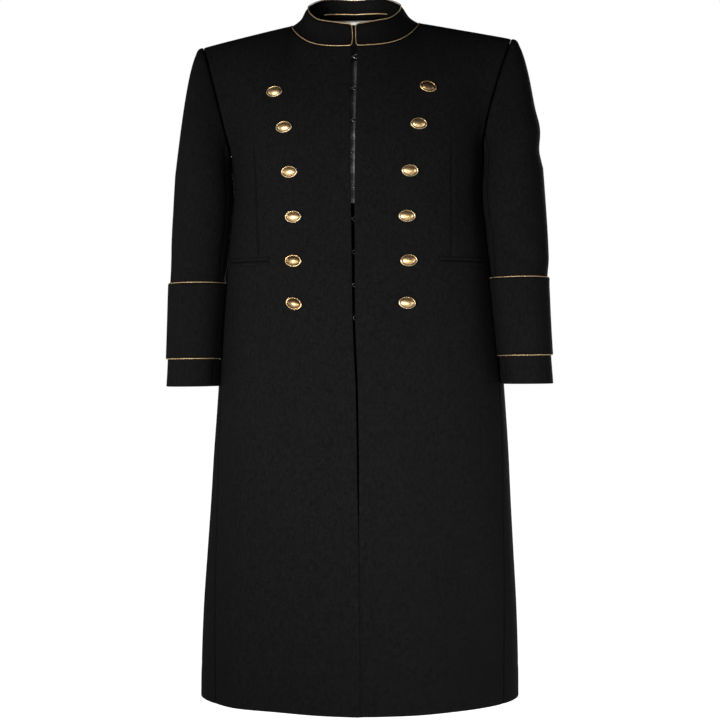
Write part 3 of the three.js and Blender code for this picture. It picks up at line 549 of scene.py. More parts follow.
def signed_volume(mesh):
    """The volume inside a closed mesh, below zero where its faces point in."""
    count = len(mesh.polygons)
    centre, normal, area = np.empty(3 * count), np.empty(3 * count), np.empty(count)
    mesh.polygons.foreach_get("center", centre)
    mesh.polygons.foreach_get("normal", normal)
    mesh.polygons.foreach_get("area", area)
    return float((area * (centre * normal).reshape(-1, 3).sum(axis=1)).sum() / 3)


def mesh_from_arrays(name, points, faces, material, shade):
    """A mesh in metres from millimetre points, with a shade value for each point."""
    mesh = bpy.data.meshes.new(name)
    mesh.from_pydata((points * MM).tolist(), [], faces)
    mesh.polygons.foreach_set("use_smooth", [True] * len(mesh.polygons))
    mesh.attributes.new("shade", "FLOAT", "POINT").data.foreach_set("value", np.asarray(shade, dtype=float))
    mesh.materials.append(material)
    mesh.update()
    if signed_volume(mesh) < 0:
        mesh.flip_normals()
    return new_object(name, mesh)


RIM_STEPS = 3


def rim(outer, inner, outward, roundness):
    """Points round a cloth edge, from its outer face to its inner one."""
    middle, half = (outer + inner) / 2, (outer - inner) / 2
    thick = np.linalg.norm(half, axis=-1, keepdims=True)
    turns = [math.pi * (k + 1) / (RIM_STEPS + 1) for k in range(RIM_STEPS)]
    return [middle + half * math.cos(t) + outward * thick * roundness * math.sin(t) for t in turns]


def unit(v):
    """Vectors of length 1."""
    return v / np.linalg.norm(v, axis=-1, keepdims=True)


def strip_faces(rows, count, is_loop=True, start=0):
    """Quads between successive rows of equal length, each row closed on itself where is_loop."""
    index = start + np.arange(rows * count).reshape(rows, count)
    right = np.roll(index, -1, axis=1) if is_loop else index[:, 1:]
    left = index if is_loop else index[:, :-1]
    quads = np.stack([left[:-1], left[1:], right[1:], right[:-1]], axis=-1)
    return quads.reshape(-1, 4).tolist()


def shell(name, outer, inner, material, shade, edge_round=0.35, free=()):
    """A cloth wall with rounded edges from two grids of points. free names the edges that are rolled."""
    fullness = {edge: (1.0 if edge in free else edge_round) for edge in ("start", "end", "top", "bottom")}
    steps = RIM_STEPS
    start_rim = rim(outer[:, 0], inner[:, 0], unit(outer[:, 0] - outer[:, 1]), fullness["start"])
    end_rim = rim(outer[:, -1], inner[:, -1], unit(outer[:, -1] - outer[:, -2]), fullness["end"])
    loops = [outer, np.stack(end_rim, 1), inner[:, ::-1], np.stack(start_rim[::-1], 1)]
    loops = np.concatenate(loops, axis=1)
    tone = np.concatenate([shade, np.repeat(shade[:, -1:], steps, 1), shade[:, ::-1],
                           np.repeat(shade[:, :1], steps, 1)], axis=1)
    columns, length = outer.shape[1], loops.shape[1]
    partner = (2 * columns + steps - 1 - np.arange(length)) % length

    def cap(row, nextrow, roundness):
        middle = (row + row[partner]) / 2
        half = (row - row[partner]) / 2
        thick = np.linalg.norm(half, axis=-1, keepdims=True)
        outward = unit((row + row[partner]) - (nextrow + nextrow[partner]))
        turns = [math.pi / 2 * k / (steps - 0.6) for k in range(1, steps)]
        return [middle + half * math.cos(t) + outward * thick * roundness * math.sin(t) for t in turns]

    top = cap(loops[0], loops[1], fullness["top"])
    bottom = cap(loops[-1], loops[-2], fullness["bottom"])
    all_loops = np.concatenate([np.stack(top[::-1]), loops, np.stack(bottom)])
    all_tone = [np.repeat(tone[:1], len(top), 0), tone, np.repeat(tone[-1:], len(bottom), 0)]
    rows = all_loops.shape[0]
    faces = strip_faces(rows, length)
    for row, is_top in ((0, True), (rows - 1, False)):
        base = row * length
        a = np.arange(columns - 1)
        quads = np.stack([a, a + 1, partner[a + 1], partner[a]], axis=-1) + base
        ends = [[columns - 1, *range(columns, columns + steps), columns + steps],
                [2 * columns + steps - 1, *range(2 * columns + steps, 2 * columns + 2 * steps), 0]]
        caps = quads.tolist() + [[base + i for i in end] for end in ends]
        faces += caps if is_top else [face[::-1] for face in caps]
    return mesh_from_arrays(name, all_loops.reshape(-1, 3), faces, material, np.concatenate(all_tone).ravel())


def tube_shell(name, outer, inner, material, shade):
    """A closed band of cloth with rounded edges, from two grids whose columns run round it."""
    steps, roundness = RIM_STEPS, 0.8
    top = rim(outer[0], inner[0], unit(outer[0] - outer[1]), roundness)
    bottom = rim(outer[-1], inner[-1], unit(outer[-1] - outer[-2]), roundness)
    rows = np.concatenate([outer, np.stack(bottom), inner[::-1], np.stack(top[::-1])])
    tone = [shade, np.repeat(shade[-1:], steps, 0), shade[::-1], np.repeat(shade[:1], steps, 0)]
    loops = np.concatenate([rows, rows[:1]])
    count = loops.shape[1]
    faces = np.array(strip_faces(loops.shape[0], count)) % (rows.shape[0] * count)
    return mesh_from_arrays(name, rows.reshape(-1, 3), faces.tolist(), material, np.concatenate(tone).ravel())


def face_outwards(obj):
    """Merges doubles and turns a closed mesh's faces outwards."""
    mesh = bmesh.new()
    mesh.from_mesh(obj.data)
    bmesh.ops.remove_doubles(mesh, verts=mesh.verts, dist=1e-6)
    bmesh.ops.recalc_face_normals(mesh, faces=mesh.faces)
    mesh.to_mesh(obj.data)
    mesh.free()


def cloth_settings():
    return bpy.context.scene.overcoat_cloth


def settle(obj, nodes):
    """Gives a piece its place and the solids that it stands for."""
    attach(obj, "root")
    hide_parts(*nodes)


def declare_cloth(obj, node):
    settle(obj, [node])


# Node trees
def feed(tree, socket, value):
    """Links an output to a node's input, or sets the input to a plain value."""
    if isinstance(value, bpy.types.NodeSocket):
        tree.links.new(value, socket)
    else:
        socket.default_value = value


def add_node(tree, kind, inputs=None, **settings):
    node = tree.nodes.new(kind)
    for key, value in settings.items():
        setattr(node, key, value)
    for key, value in (inputs or {}).items():
        feed(tree, node.inputs[key], value)
    return node


# Materials
class Nodes:
    """Short calls for building a material's node tree."""

    def __init__(self, name):
        self.material = bpy.data.materials.new(name)
        self.material.use_nodes = True
        self.tree = self.material.node_tree
        self.shader = self.tree.nodes["Principled BSDF"]
        self.coordinates = self.tree.nodes.new("ShaderNodeTexCoord").outputs["Object"]

    def add(self, kind, inputs=None, **settings):
        return add_node(self.tree, kind, inputs, **settings)

    def noise(self, scale, detail=2.0, roughness=0.5, vector=None):
        return self.add("ShaderNodeTexNoise", {
            "Vector": vector or self.coordinates, "Scale": scale, "Detail": detail,
            "Roughness": roughness}).outputs["Fac"]

    def bands(self, scale, distortion, direction):
        return self.add("ShaderNodeTexWave", {"Vector": self.coordinates, "Scale": scale,
                                              "Distortion": distortion},
                        bands_direction=direction).outputs["Fac"]

    def stretch(self, scale):
        return self.add("ShaderNodeMapping", {"Vector": self.coordinates, "Scale": scale}).outputs["Vector"]

    def ramp(self, value, *stops):
        node = self.add("ShaderNodeValToRGB", {"Fac": value})
        elements = node.color_ramp.elements
        while len(elements) < len(stops):
            elements.new(0.5)
        for element, (place, color) in zip(elements, stops):
            element.position = place
            element.color = (*color, 1)
        return node.outputs["Color"]

    def mix(self, factor, a, b):
        """Mixes two colours. The mix node's inputs 0, 6 and 7 and its output 2 are those for colours."""
        return self.add("ShaderNodeMix", {0: factor, 6: a, 7: b}, data_type="RGBA").outputs[2]

    def math(self, operation, a, b, is_clamped=False):
        return self.add("ShaderNodeMath", {0: a, 1: b}, operation=operation, use_clamp=is_clamped).outputs[0]

    def attribute(self, name):
        return self.add("ShaderNodeAttribute", attribute_name=name).outputs["Fac"]

    def bump(self, height, strength, distance, normal=None):
        inputs = {"Height": height, "Strength": strength, "Distance": distance}
        if normal is not None:
            inputs["Normal"] = normal
        return self.add("ShaderNodeBump", inputs).outputs["Normal"]

    def finish(self, color, normal, roughness, **sockets):
        """Feeds the surface shader and returns the material."""
        inputs = {"Base Color": color, "Normal": normal, "Roughness": roughness}
        inputs.update({key.replace("_", " "): value for key, value in sockets.items()})
        for key, value in inputs.items():
            if value is not None:
                feed(self.tree, self.shader.inputs[key], value)
        return self.material


def wool_material():
    """Fulled black wool: matt, with a fine melange of lighter fibres and a short nap, darkened along its
    pressed seams by painted shade.
    """
    n = Nodes("fulled black wool")
    dark = tuple(cloth_settings().wool_color)
    flecks = n.noise(480, detail=4, roughness=0.8)
    tone = n.ramp(flecks, (0.34, dark), (0.68, tuple(3.0 * c for c in dark)))
    cloud = n.noise(26, detail=3)
    tone = n.mix(n.math("MULTIPLY", cloud, 0.5), tone, (*(1.35 * c for c in dark), 1))
    fibres = n.noise(240, detail=4, roughness=0.8, vector=n.stretch((1, 1, 0.6)))
    tone = n.mix(n.math("SUBTRACT", fibres, 0.36, is_clamped=True), tone, (*(6 * c for c in dark), 1))
    # Painted shade: the shade attribute darkens the cloth along its seams, darts, welt slits, band edges and
    # the collar's foot.
    crease = n.attribute("shade")
    tone = n.mix(n.math("MULTIPLY", crease, 0.75), tone, (*(0.35 * c for c in dark), 1))
    nap = n.bump(n.noise(1500, detail=3, roughness=0.7), 0.5, 0.0004)
    felt = n.bump(n.noise(330, detail=4, roughness=0.65), 0.4, 0.001, nap)
    return n.finish(tone, felt, 0.95, Sheen_Weight=0.0015, Sheen_Roughness=0.4,
                    Sheen_Tint=(0.8, 0.8, 0.82, 1), Specular_IOR_Level=0.012)


def satin_material():
    """Dark grey satin with a fine warp and soft puckers, with a painted sheen on the puckers' crests and
    painted shade round the hooks.
    """
    n = Nodes("grey satin")
    warp = n.bands(900, 1.2, "X")
    pucker = n.noise(120, detail=2, vector=n.stretch((1, 1, 1.8)))
    # Painted sheen: the puckers' crests are lighter in colour.
    tone = n.ramp(pucker, (0.3, (0.012, 0.012, 0.0125)), (0.75, (0.03, 0.03, 0.031)))
    # Painted shade: the shade attribute darkens the satin round each hook.
    tone = n.mix(n.attribute("shade"), tone, (0.003, 0.003, 0.003, 1))
    return n.finish(tone, n.bump(warp, 0.15, 0.0002, n.bump(pucker, 0.3, 0.001)), 0.42,
                    Sheen_Weight=0.03, Specular_IOR_Level=0.3)


def gold_cord_material():
    """Gimp cord wound in dull gold metal thread."""
    n = Nodes("gold gimp cord")
    thread = n.noise(2600, detail=2)
    tone = n.ramp(thread, (0.3, (0.13, 0.08, 0.032)), (0.7, (0.46, 0.32, 0.16)))
    wear = n.noise(70, detail=3)
    tone = n.mix(n.math("MULTIPLY", wear, 0.45), tone, (0.2, 0.15, 0.085, 1))
    return n.finish(tone, n.bump(thread, 0.5, 0.0003), 0.42, Metallic=0.55)


def brass_material():
    """Antique brass: paler round the raised rim, brown in the groove, and darker round the back edge, a
    painted shade where the button meets the coat.
    """
    n = Nodes("antique brass")
    patina = n.noise(420, detail=4, roughness=0.65)
    dome = n.ramp(patina, (0.3, (0.21, 0.135, 0.06)), (0.62, (0.45, 0.31, 0.155)))
    shade = n.attribute("shade")
    metal = n.mix(n.math("MULTIPLY", shade, 2.5, is_clamped=True), (0.3, 0.24, 0.16, 1), dome)
    # The same darkening gives the painted shade round the back edge and on the leaning buttons.
    groove = n.math("MULTIPLY", n.math("SUBTRACT", shade, 0.5), 2.0, is_clamped=True)
    tone = n.mix(groove, metal, (0.05, 0.028, 0.014, 1))
    rough = n.math("ADD", n.math("MULTIPLY", patina, 0.2), 0.3)
    pits = n.bump(n.noise(900, detail=3), 0.12, 0.0002)
    return n.finish(tone, pits, rough, Metallic=1.0)


def wire_material():
    """Black lacquered wire, worn to grey in places."""
    n = Nodes("black lacquered wire")
    worn = n.noise(500, detail=2)
    tone = n.ramp(worn, (0.45, (0.02, 0.02, 0.021)), (0.75, (0.2, 0.2, 0.21)))
    return n.finish(tone, n.bump(worn, 0.1, 0.0001), 0.28, Metallic=0.7)


def label_material():
    """White woven tape."""
    n = Nodes("white woven label")
    weave = n.bands(700, 0.6, "Z")
    tone = n.ramp(weave, (0.1, (0.66, 0.65, 0.61)), (0.9, (0.84, 0.83, 0.79)))
    return n.finish(tone, n.bump(weave, 0.25, 0.0002), 0.6, Sheen_Weight=0.15)


def thread_material():
    """Black sewing thread."""
    n = Nodes("sewing thread")
    twist = n.noise(2400, detail=1)
    tone = n.ramp(twist, (0.3, (0.012, 0.012, 0.013)), (0.7, (0.03, 0.03, 0.032)))
    return n.finish(tone, n.bump(twist, 0.4, 0.0002), 0.7, Sheen_Weight=0.1)


def paper_material():
    """Pale studio paper, lit evenly."""
    n = Nodes("pale studio paper")
    grain = n.noise(40, detail=2)
    tone = n.ramp(grain, (0.3, (0.9, 0.9, 0.9)), (0.7, (0.92, 0.92, 0.92)))
    return n.finish(tone, None, 0.95, Specular_IOR_Level=0.0, Emission_Color=(1, 1, 1, 1),
                    Emission_Strength=1.0)


MAKERS = {
    "wool": wool_material, "satin": satin_material, "gold": gold_cord_material, "brass": brass_material,
    "wire": wire_material, "label": label_material, "thread": thread_material, "paper": paper_material,
}
MATERIALS = {}


def material(name):
    if name not in MATERIALS:
        MATERIALS[name] = MAKERS[name]()
    return MATERIALS[name]


# Geometry Nodes trees
def new_tree(name, *inputs):
    """A tree with a geometry input and output and further inputs, each a label and a socket kind."""
    tree = bpy.data.node_groups.new(name, "GeometryNodeTree")
    tree.interface.new_socket("Geometry", in_out="INPUT", socket_type="NodeSocketGeometry")
    for label, kind in inputs:
        tree.interface.new_socket(label, in_out="INPUT", socket_type=kind)
    tree.interface.new_socket("Geometry", in_out="OUTPUT", socket_type="NodeSocketGeometry")
    return tree, tree.nodes.new("NodeGroupInput"), tree.nodes.new("NodeGroupOutput")


def end_tree(tree, geometry, given, output):
    """Realises the geometry, gives it the material and ends the tree with it."""
    real = add_node(tree, "GeometryNodeRealizeInstances", {"Geometry": geometry})
    dressed = add_node(tree, "GeometryNodeSetMaterial", {
        "Geometry": real.outputs["Geometry"], "Material": given.outputs["Material"]})
    tree.links.new(dressed.outputs["Geometry"], output.inputs["Geometry"])
    return tree


def twisted_cord_tree():
    """Sweeps a three-lobed section along an edge path and twists it, as a laid cord."""
    tree, given, output = new_tree(
        "twisted cord", ("Radius", "NodeSocketFloat"), ("Step", "NodeSocketFloat"),
        ("Twist per metre", "NodeSocketFloat"), ("Material", "NodeSocketMaterial"))
    curve = add_node(tree, "GeometryNodeMeshToCurve", {"Mesh": given.outputs["Geometry"]})
    even = add_node(tree, "GeometryNodeResampleCurve", {
        "Curve": curve.outputs["Curve"], "Length": given.outputs["Step"]}, mode="LENGTH")
    along = tree.nodes.new("GeometryNodeSplineParameter")
    tilt = add_node(tree, "ShaderNodeMath", {0: along.outputs["Length"], 1: given.outputs["Twist per metre"]},
                 operation="MULTIPLY")
    laid = add_node(tree, "GeometryNodeSetCurveTilt", {
        "Curve": even.outputs["Curve"], "Tilt": tilt.outputs[0]})
    inner = add_node(tree, "ShaderNodeMath", {0: given.outputs["Radius"], 1: 0.62}, operation="MULTIPLY")
    star = add_node(tree, "GeometryNodeCurveStar", {
        "Points": 3, "Inner Radius": inner.outputs[0], "Outer Radius": given.outputs["Radius"]})
    soft = add_node(tree, "GeometryNodeFilletCurve", {
        "Curve": star.outputs["Curve"], "Radius": inner.outputs[0], "Count": 1, "Limit Radius": True},
        mode="POLY")
    swept = add_node(tree, "GeometryNodeCurveToMesh", {
        "Curve": laid.outputs["Curve"], "Profile Curve": soft.outputs["Curve"], "Fill Caps": True})
    return end_tree(tree, swept.outputs["Mesh"], given, output)


def stitch_tree():
    """Sets short stitches of thread along an edge path, one each pitch."""
    tree, given, output = new_tree(
        "stitches", ("Pitch", "NodeSocketFloat"), ("Thread", "NodeSocketFloat"),
        ("Material", "NodeSocketMaterial"))
    curve = add_node(tree, "GeometryNodeMeshToCurve", {"Mesh": given.outputs["Geometry"]})
    dots = add_node(tree, "GeometryNodeCurveToPoints", {
        "Curve": curve.outputs["Curve"], "Length": given.outputs["Pitch"]}, mode="LENGTH")
    bead = add_node(tree, "GeometryNodeMeshIcoSphere", {"Radius": 1.0, "Subdivisions": 1})
    length = add_node(tree, "ShaderNodeMath", {0: given.outputs["Pitch"], 1: 0.36}, operation="MULTIPLY")
    size = add_node(tree, "ShaderNodeCombineXYZ", {
        "X": given.outputs["Thread"], "Y": given.outputs["Thread"], "Z": length.outputs[0]})
    placed = add_node(tree, "GeometryNodeInstanceOnPoints", {
        "Points": dots.outputs["Points"], "Instance": bead.outputs["Mesh"],
        "Rotation": dots.outputs["Rotation"], "Scale": size.outputs["Vector"]})
    return end_tree(tree, placed.outputs["Instances"], given, output)


TREES = {}


def run_tree(name, maker, paths, values, is_loop=False):
    """Runs a tree on edge paths (millimetre points) and returns the result as a plain mesh object."""
    if maker not in TREES:
        TREES[maker] = maker()
    tree = TREES[maker]
    points, edges = [], []
    for path in paths:
        start = len(points)
        points += (np.asarray(path) * MM).tolist()
        edges += [(start + i, start + i + 1) for i in range(len(path) - 1)]
        if is_loop:
            edges.append((start + len(path) - 1, start))
    mesh = bpy.data.meshes.new(name + " path")
    mesh.from_pydata(points, edges, [])
    source = new_object(name + " path", mesh)
    modifier = source.modifiers.new("shape", "NODES")
    modifier.node_group = tree
    for item in tree.interface.items_tree:
        if item.item_type == "SOCKET" and item.in_out == "INPUT" and item.name in values:
            modifier[item.identifier] = values[item.name]
    evaluated = source.evaluated_get(bpy.context.evaluated_depsgraph_get())
    made = bpy.data.meshes.new_from_object(evaluated)
    made.name = name
    source.modifiers.remove(modifier)
    bpy.data.objects.remove(source)
    made.polygons.foreach_set("use_smooth", [True] * len(made.polygons))
    obj = new_object(name, made)
    face_outwards(obj)
    return obj


CORD_STEP = 0.8


def path_length(path):
    return float(np.linalg.norm(np.diff(path, axis=0), axis=-1).sum())


def twisted_cord(name, path, radius, lay=5.0, is_loop=False):
    """A laid cord along a millimetre path, with a whole number of turns of the given lay."""
    length = path_length(np.concatenate([path, path[:1]]) if is_loop else path)
    turns = max(round(length / lay), 1)
    return run_tree(name, twisted_cord_tree, [path], {
        "Radius": radius * MM, "Step": CORD_STEP * MM,
        "Twist per metre": 2 * math.pi * turns / (length * MM), "Material": material("gold")}, is_loop)


def resample(path, step):
    """Even points along a path, on a smooth curve through it."""
    far = np.concatenate([[0], np.cumsum(np.linalg.norm(np.diff(path, axis=0), axis=-1))])
    where = np.linspace(0, far[-1], max(int(far[-1] / step), 4) + 1)
    rows = {"far": far, "x": path[:, 0], "y": path[:, 1], "z": path[:, 2]}
    return point(*(look_up(rows, where, axis) for axis in "xyz"))


def wire_mesh(path, radius, sides=8, steps=28):
    """The points and faces of a round wire along a path, with domed ends."""
    line = resample(path, path_length(path) / steps)
    along = unit(np.gradient(line, axis=0))
    normal = np.cross(along[0], (0.3, 0.2, 0.93))
    rings = []
    for i, tangent in enumerate(along):
        normal = unit(normal - tangent * np.dot(normal, tangent))
        side = np.cross(tangent, normal)
        turn = 2 * math.pi * np.arange(sides) / sides
        size = radius * (0.6 if i in (0, len(along) - 1) else 1)
        rings.append(line[i] + size * (np.cos(turn)[:, None] * normal + np.sin(turn)[:, None] * side))
    points = np.concatenate(rings)
    faces = [face[::-1] for face in strip_faces(len(rings), sides)]
    last = (len(rings) - 1) * sides
    faces += [list(range(sides))[::-1], [last + k for k in range(sides)]]
    return points, faces


def join_meshes(name, parts, finish, shades=None):
    """One object from several (points, faces) pairs."""
    points, faces, tone, start = [], [], [], 0
    for i, (some_points, some_faces) in enumerate(parts):
        points.append(some_points)
        faces += [[start + k for k in face] for face in some_faces]
        tone.append(np.zeros(len(some_points)) if shades is None else shades[i])
        start += len(some_points)
    return mesh_from_arrays(name, np.concatenate(points), faces, material(finish), np.concatenate(tone))


# Cloth pieces
SEAM_ROLL = {"depth": 0.9, "width": 2.6}


def seam_dip(distance, depth=SEAM_ROLL["depth"], width=SEAM_ROLL["width"]):
    """How far cloth dips towards a pressed seam at a distance from it."""
    return depth * np.exp(-distance / width)


def drag_depth(rows, x, drop):
    """The depth of soft drags, each along a line from x0, drop0 to x1, drop1."""
    depth = 0 * x
    for x0, drop0, x1, drop1, width, size in zip(*rows.values()):
        length = math.hypot(x1 - x0, drop1 - drop0)
        ahead = ((x1 - x0) / length, (drop1 - drop0) / length)
        t = ((x - x0) * ahead[0] + (drop - drop0) * ahead[1]) / length
        across = (x - x0) * -ahead[1] + (drop - drop0) * ahead[0]
        strength = smoothstep(t, -0.3, 0.25) * (1 - smoothstep(t, 0.7, 1.3))
        depth = depth + size * bell(across / width) * strength
    return depth


def dart(side, x, drop):
    """The pressed dart of a front, as a depth and a darkness, a painted shade in its fold, for each point."""
    dart_x = look_up(DARTS, drop, side.name)
    here = smoothstep(drop, 168, 200) * (1 - smoothstep(drop, 338, 343))
    off = x - dart_x
    return here * (0.6 * bell(off / 1.5) - 0.5 * bell((off - 5) / 4)), 0.7 * here * bell(off / 1.3)


# Faint drags of the cloth across the fronts and the backs
FRONT_DRAGS = table(
    "x0 drop0 x1 drop1 width size",
    (176, 178, 118, 262, 13, 1.3),
    (120, 60, 60, 150, 20, -1.0),
    (30, 120, 62, 330, 18, 1.2),
    (110, 375, 70, 470, 16, 1.0),
    (160, 300, 95, 318, 9, 0.8),
    (165, 420, 120, 560, 18, -1.4),
)
BACK_DRAGS = table(
    "x0 drop0 x1 drop1 width size",
    (170, 120, 110, 220, 18, 2.0),
    (60, 60, 150, 110, 16, 1.2),
    (40, 250, 120, 285, 10, 1.6),
    (60, 290, 150, 300, 9, 1.2),
    (100, 340, 70, 450, 18, 1.4),
)


HEM_ALLOWANCE = 42


def build_panel(side, is_front):
    """A front or a back: its edges dip into the seams, and its hem and front edge are rolled."""
    trim, front_edge, hem_edge = 0.0006, 0.004, 1.9975
    edges = (0, 0.012, 2), (1, 0.02, 1.5)
    by_the_dart = (0.59, 0.03, 2.2)
    columns, rows = (112, 235) if is_front else (92, 200)
    us = spread(columns, *edges, by_the_dart) if is_front else spread(columns, *edges)
    us = lerp(front_edge if is_front else trim, 1 - trim, us)
    vs = lerp(trim, hem_edge, spread(rows, (0, 0.01, 2), (1, 0.006, 1)))
    across, down = np.meshgrid(us, vs)
    straight = straight_panel(side, is_front, across, down)
    base = hang(straight)
    facing = side.sign * (-1 if is_front else 1)
    far = distances(base)
    x, drop = np.abs(straight[..., 0]), -straight[..., 2]
    depth = drag_depth(FRONT_DRAGS if is_front else BACK_DRAGS, x, drop)
    depth = depth + seam_dip(far["end"]) + seam_dip(far["top"])
    # Painted shade: the cloth is darkened along its seams, and along the dart on a front.
    dark = bell(far["end"] / 1.3) + bell(far["top"] / 1.5)
    if is_front:
        dart_depth, dart_dark = dart(side, x, drop)
        lap = smoothstep(drop, 640, 800) * (1 - smoothstep(far["start"], 4, 26))
        depth = depth + dart_depth + side.sign * FRONT_LAP["depth"] * lap
        dark = dark + dart_dark
        base = base + point(-side.sign * FRONT_LAP["width"] * lap, 0, 0)
    else:
        depth = depth + seam_dip(far["start"])
        dark = dark + bell(far["start"] / 1.3)
    from_hem_line = far["bottom"] - HEM_ALLOWANCE
    depth = depth - 0.35 * smoothstep(-from_hem_line, -6, 6) + 0.25 * bell(from_hem_line / 5)
    outer = base - grid_normals(base, facing) * depth[..., None]
    inner = outer - grid_normals(outer, facing) * (cloth_settings().thickness / MM)
    name = f"{'front' if is_front else 'back'}_{side.name}"
    obj = shell("wool_" + name, outer, inner, material("wool"), np.clip(dark, 0, 1),
                free={"bottom", "start"} if is_front else {"bottom"})
    declare_cloth(obj, name)


# The roll of the sleeve's head and the small gathers that ease it into the armhole
HEAD_ROLL = {"depth": 1.1, "from_seam": 8}
GATHERS = {"count": 23, "depth": 0.18, "from_seam": 6}


def build_sleeve(side, name, start, end, columns):
    """A sleeve piece between two angles, eased along its head with small even gathers."""
    trim, head_edge, cuff_edge, rows = 0.1, 0.018, 1.998, 170
    angles = lerp(start + trim, end - trim, spread(columns, (0, 0.03, 1.5), (1, 0.03, 1.5)))
    vs = lerp(head_edge, cuff_edge, spread(rows, (0, 0.02, 2.5)))
    angle, down = np.meshgrid(angles, vs)
    base = sleeve(side, angle, down)
    far = distances(base)
    drop = -base[..., 2]
    depth = sleeve_fold_depth(side, angle % 360, drop, SLEEVE_CREASES) * smoothstep(down, 0.1, 0.6)
    depth = depth + seam_dip(far["start"]) + seam_dip(far["end"]) + seam_dip(far["top"], 1.1, 2.4)
    upper = bell(((angle + 180) % 360 - 180) / 75)
    depth = depth - HEAD_ROLL["depth"] * upper * bell((far["top"] - HEAD_ROLL["from_seam"]) / 6)
    gathers = np.sin(np.radians(angle) * GATHERS["count"]) * GATHERS["depth"]
    depth = depth + gathers * upper * bell((far["top"] - GATHERS["from_seam"]) / 8)
    # Painted shade: the cloth is darkened along its seams.
    dark = bell(far["start"] / 1.2) + bell(far["end"] / 1.2) + bell(far["top"] / 1.6)
    outer = base - grid_normals(base, side.sign) * depth[..., None]
    inner = outer - grid_normals(outer, side.sign) * (cloth_settings().thickness / MM)
    obj = shell(f"wool_{name}_{side.name}", outer, inner, material("wool"), np.clip(dark, 0, 1),
                free={"bottom"})
    declare_cloth(obj, f"{name}_{side.name}")


def build_cuff_band(side):
    """The turned-back band round a cuff, slightly wavy at its upper edge."""
    columns, rows = 108, 36
    turns = np.linspace(0, 360, columns + 1)[:-1]
    drops = np.linspace(CUFF_BAND["top"], CUFF_BAND["bottom"], rows + 1)
    angle, drop = np.meshgrid(turns, drops)
    base = arm(side, angle, drop)
    normal = grid_normals(base, side.sign, is_ring=True)
    crease = sleeve_fold_depth(side, angle, drop, SLEEVE_CREASES)
    wave = 0.35 * np.sin(np.radians(angle * 3 + 40 * side.sign)) * bell((drop - CUFF_BAND["top"]) / 30)
    clear = CUFF_BAND["clear"] - 0.5 * crease + wave
    outer = base + normal * (clear + CUFF_BAND["cloth"])[..., None]
    inner = base + normal * clear[..., None]
    # Painted shade: the band is darkened along its upper and lower edges, beside the piping.
    shade = 0.5 * bell((drop - CUFF_BAND["top"]) / 1.5) + 0.5 * bell((drop - CUFF_BAND["bottom"]) / 1.5)
    obj = tube_shell(f"wool_cuff_band_{side.name}", outer, inner, material("wool"), shade)
    declare_cloth(obj, f"cuff_band_{side.name}")


def cuff_piping_path(side, edge):
    """The loop of piping just outside a band's upper or lower edge."""
    clear = cloth_settings().piping_radius / MM + SEAM_GAP
    drop = CUFF_BAND["top"] - clear if edge == "upper" else CUFF_BAND["bottom"] + clear
    turns = np.linspace(0, 1, 121)[:-1]
    centre = np.full_like(turns, 0.5)

    def ring(u, v):
        return arm(side, 360 * u, drop + v - 0.5)

    return ring(turns, centre) + normals_on(ring, turns, centre, side.sign) * (clear + SEAM_GAP)


# How far the collar bows out between its edges, and the slight waves along it
COLLAR_BOW = {"depth": 0.7, "wave": 0.25, "waves": 9}


def build_collar():
    """The stand collar, bowed out a little, with its foot tucked into the neck seam."""
    us = spread(230, (0, 0.012, 5), (1, 0.012, 5))
    vs = np.linspace(-COLLAR["tuck"], 1, 22)
    u, v = np.meshgrid(us, vs)
    base = collar(u, v)
    full = np.sin(math.pi * np.maximum(v, 0))
    bow = (COLLAR_BOW["depth"] + COLLAR_BOW["wave"] * np.sin(COLLAR_BOW["waves"] * math.pi * u)) * full
    normal = grid_normals(base, -1)
    outer = base + normal * bow[..., None]
    level = unit(normal * (1, 1, 0.25))
    inner = outer - level * COLLAR["cloth"]
    # Painted shade: the collar is darkened at its foot by the neck seam and along its top edge.
    dark = 0.9 * (1 - smoothstep(v, 0, 0.08)) + 0.3 * bell((1 - v) / 0.05)
    obj = shell("wool_stand_collar", outer, inner, material("wool"), np.clip(dark, 0, 1),
                free={"start", "end", "top"})
    declare_cloth(obj, "stand_collar")


def collar_piping_path():
    """The loop of piping along the collar's top and front edges and just above the neck seam."""
    out, beyond, seam_edge = cloth_settings().piping_radius / MM + 0.2, 0.5, -0.02
    near = (0.0008, 0.002, 0.004, 0.0065, 0.009, 0.0125, 0.018, 0.026)
    along = np.concatenate([near, np.linspace(0.04, 0.96, 110), 1 - np.array(near)[::-1]])
    climb = np.linspace(0.12, 0.94, 9)
    u = np.concatenate([along, np.ones(9), along[::-1], np.zeros(9)])
    v = np.concatenate([np.ones(len(along)), climb[::-1], np.full(len(along), seam_edge), climb])
    lift = np.where(v == 1, beyond, 0)
    ahead = np.where(u == 1, beyond, np.where(u == 0, -beyond, 0))
    up = unit(collar(u, np.minimum(v, 0.98) + 0.02) - collar(u, np.minimum(v, 0.98)))
    right = unit(collar(np.minimum(u, 0.998) + 0.002, v) - collar(np.minimum(u, 0.998), v))
    edge = collar(u, v) + up * lift[:, None] + right * ahead[:, None]
    return edge + normals_on(collar, u, v, -1) * (out * np.where(v == 1, 0.6, 1))[:, None]


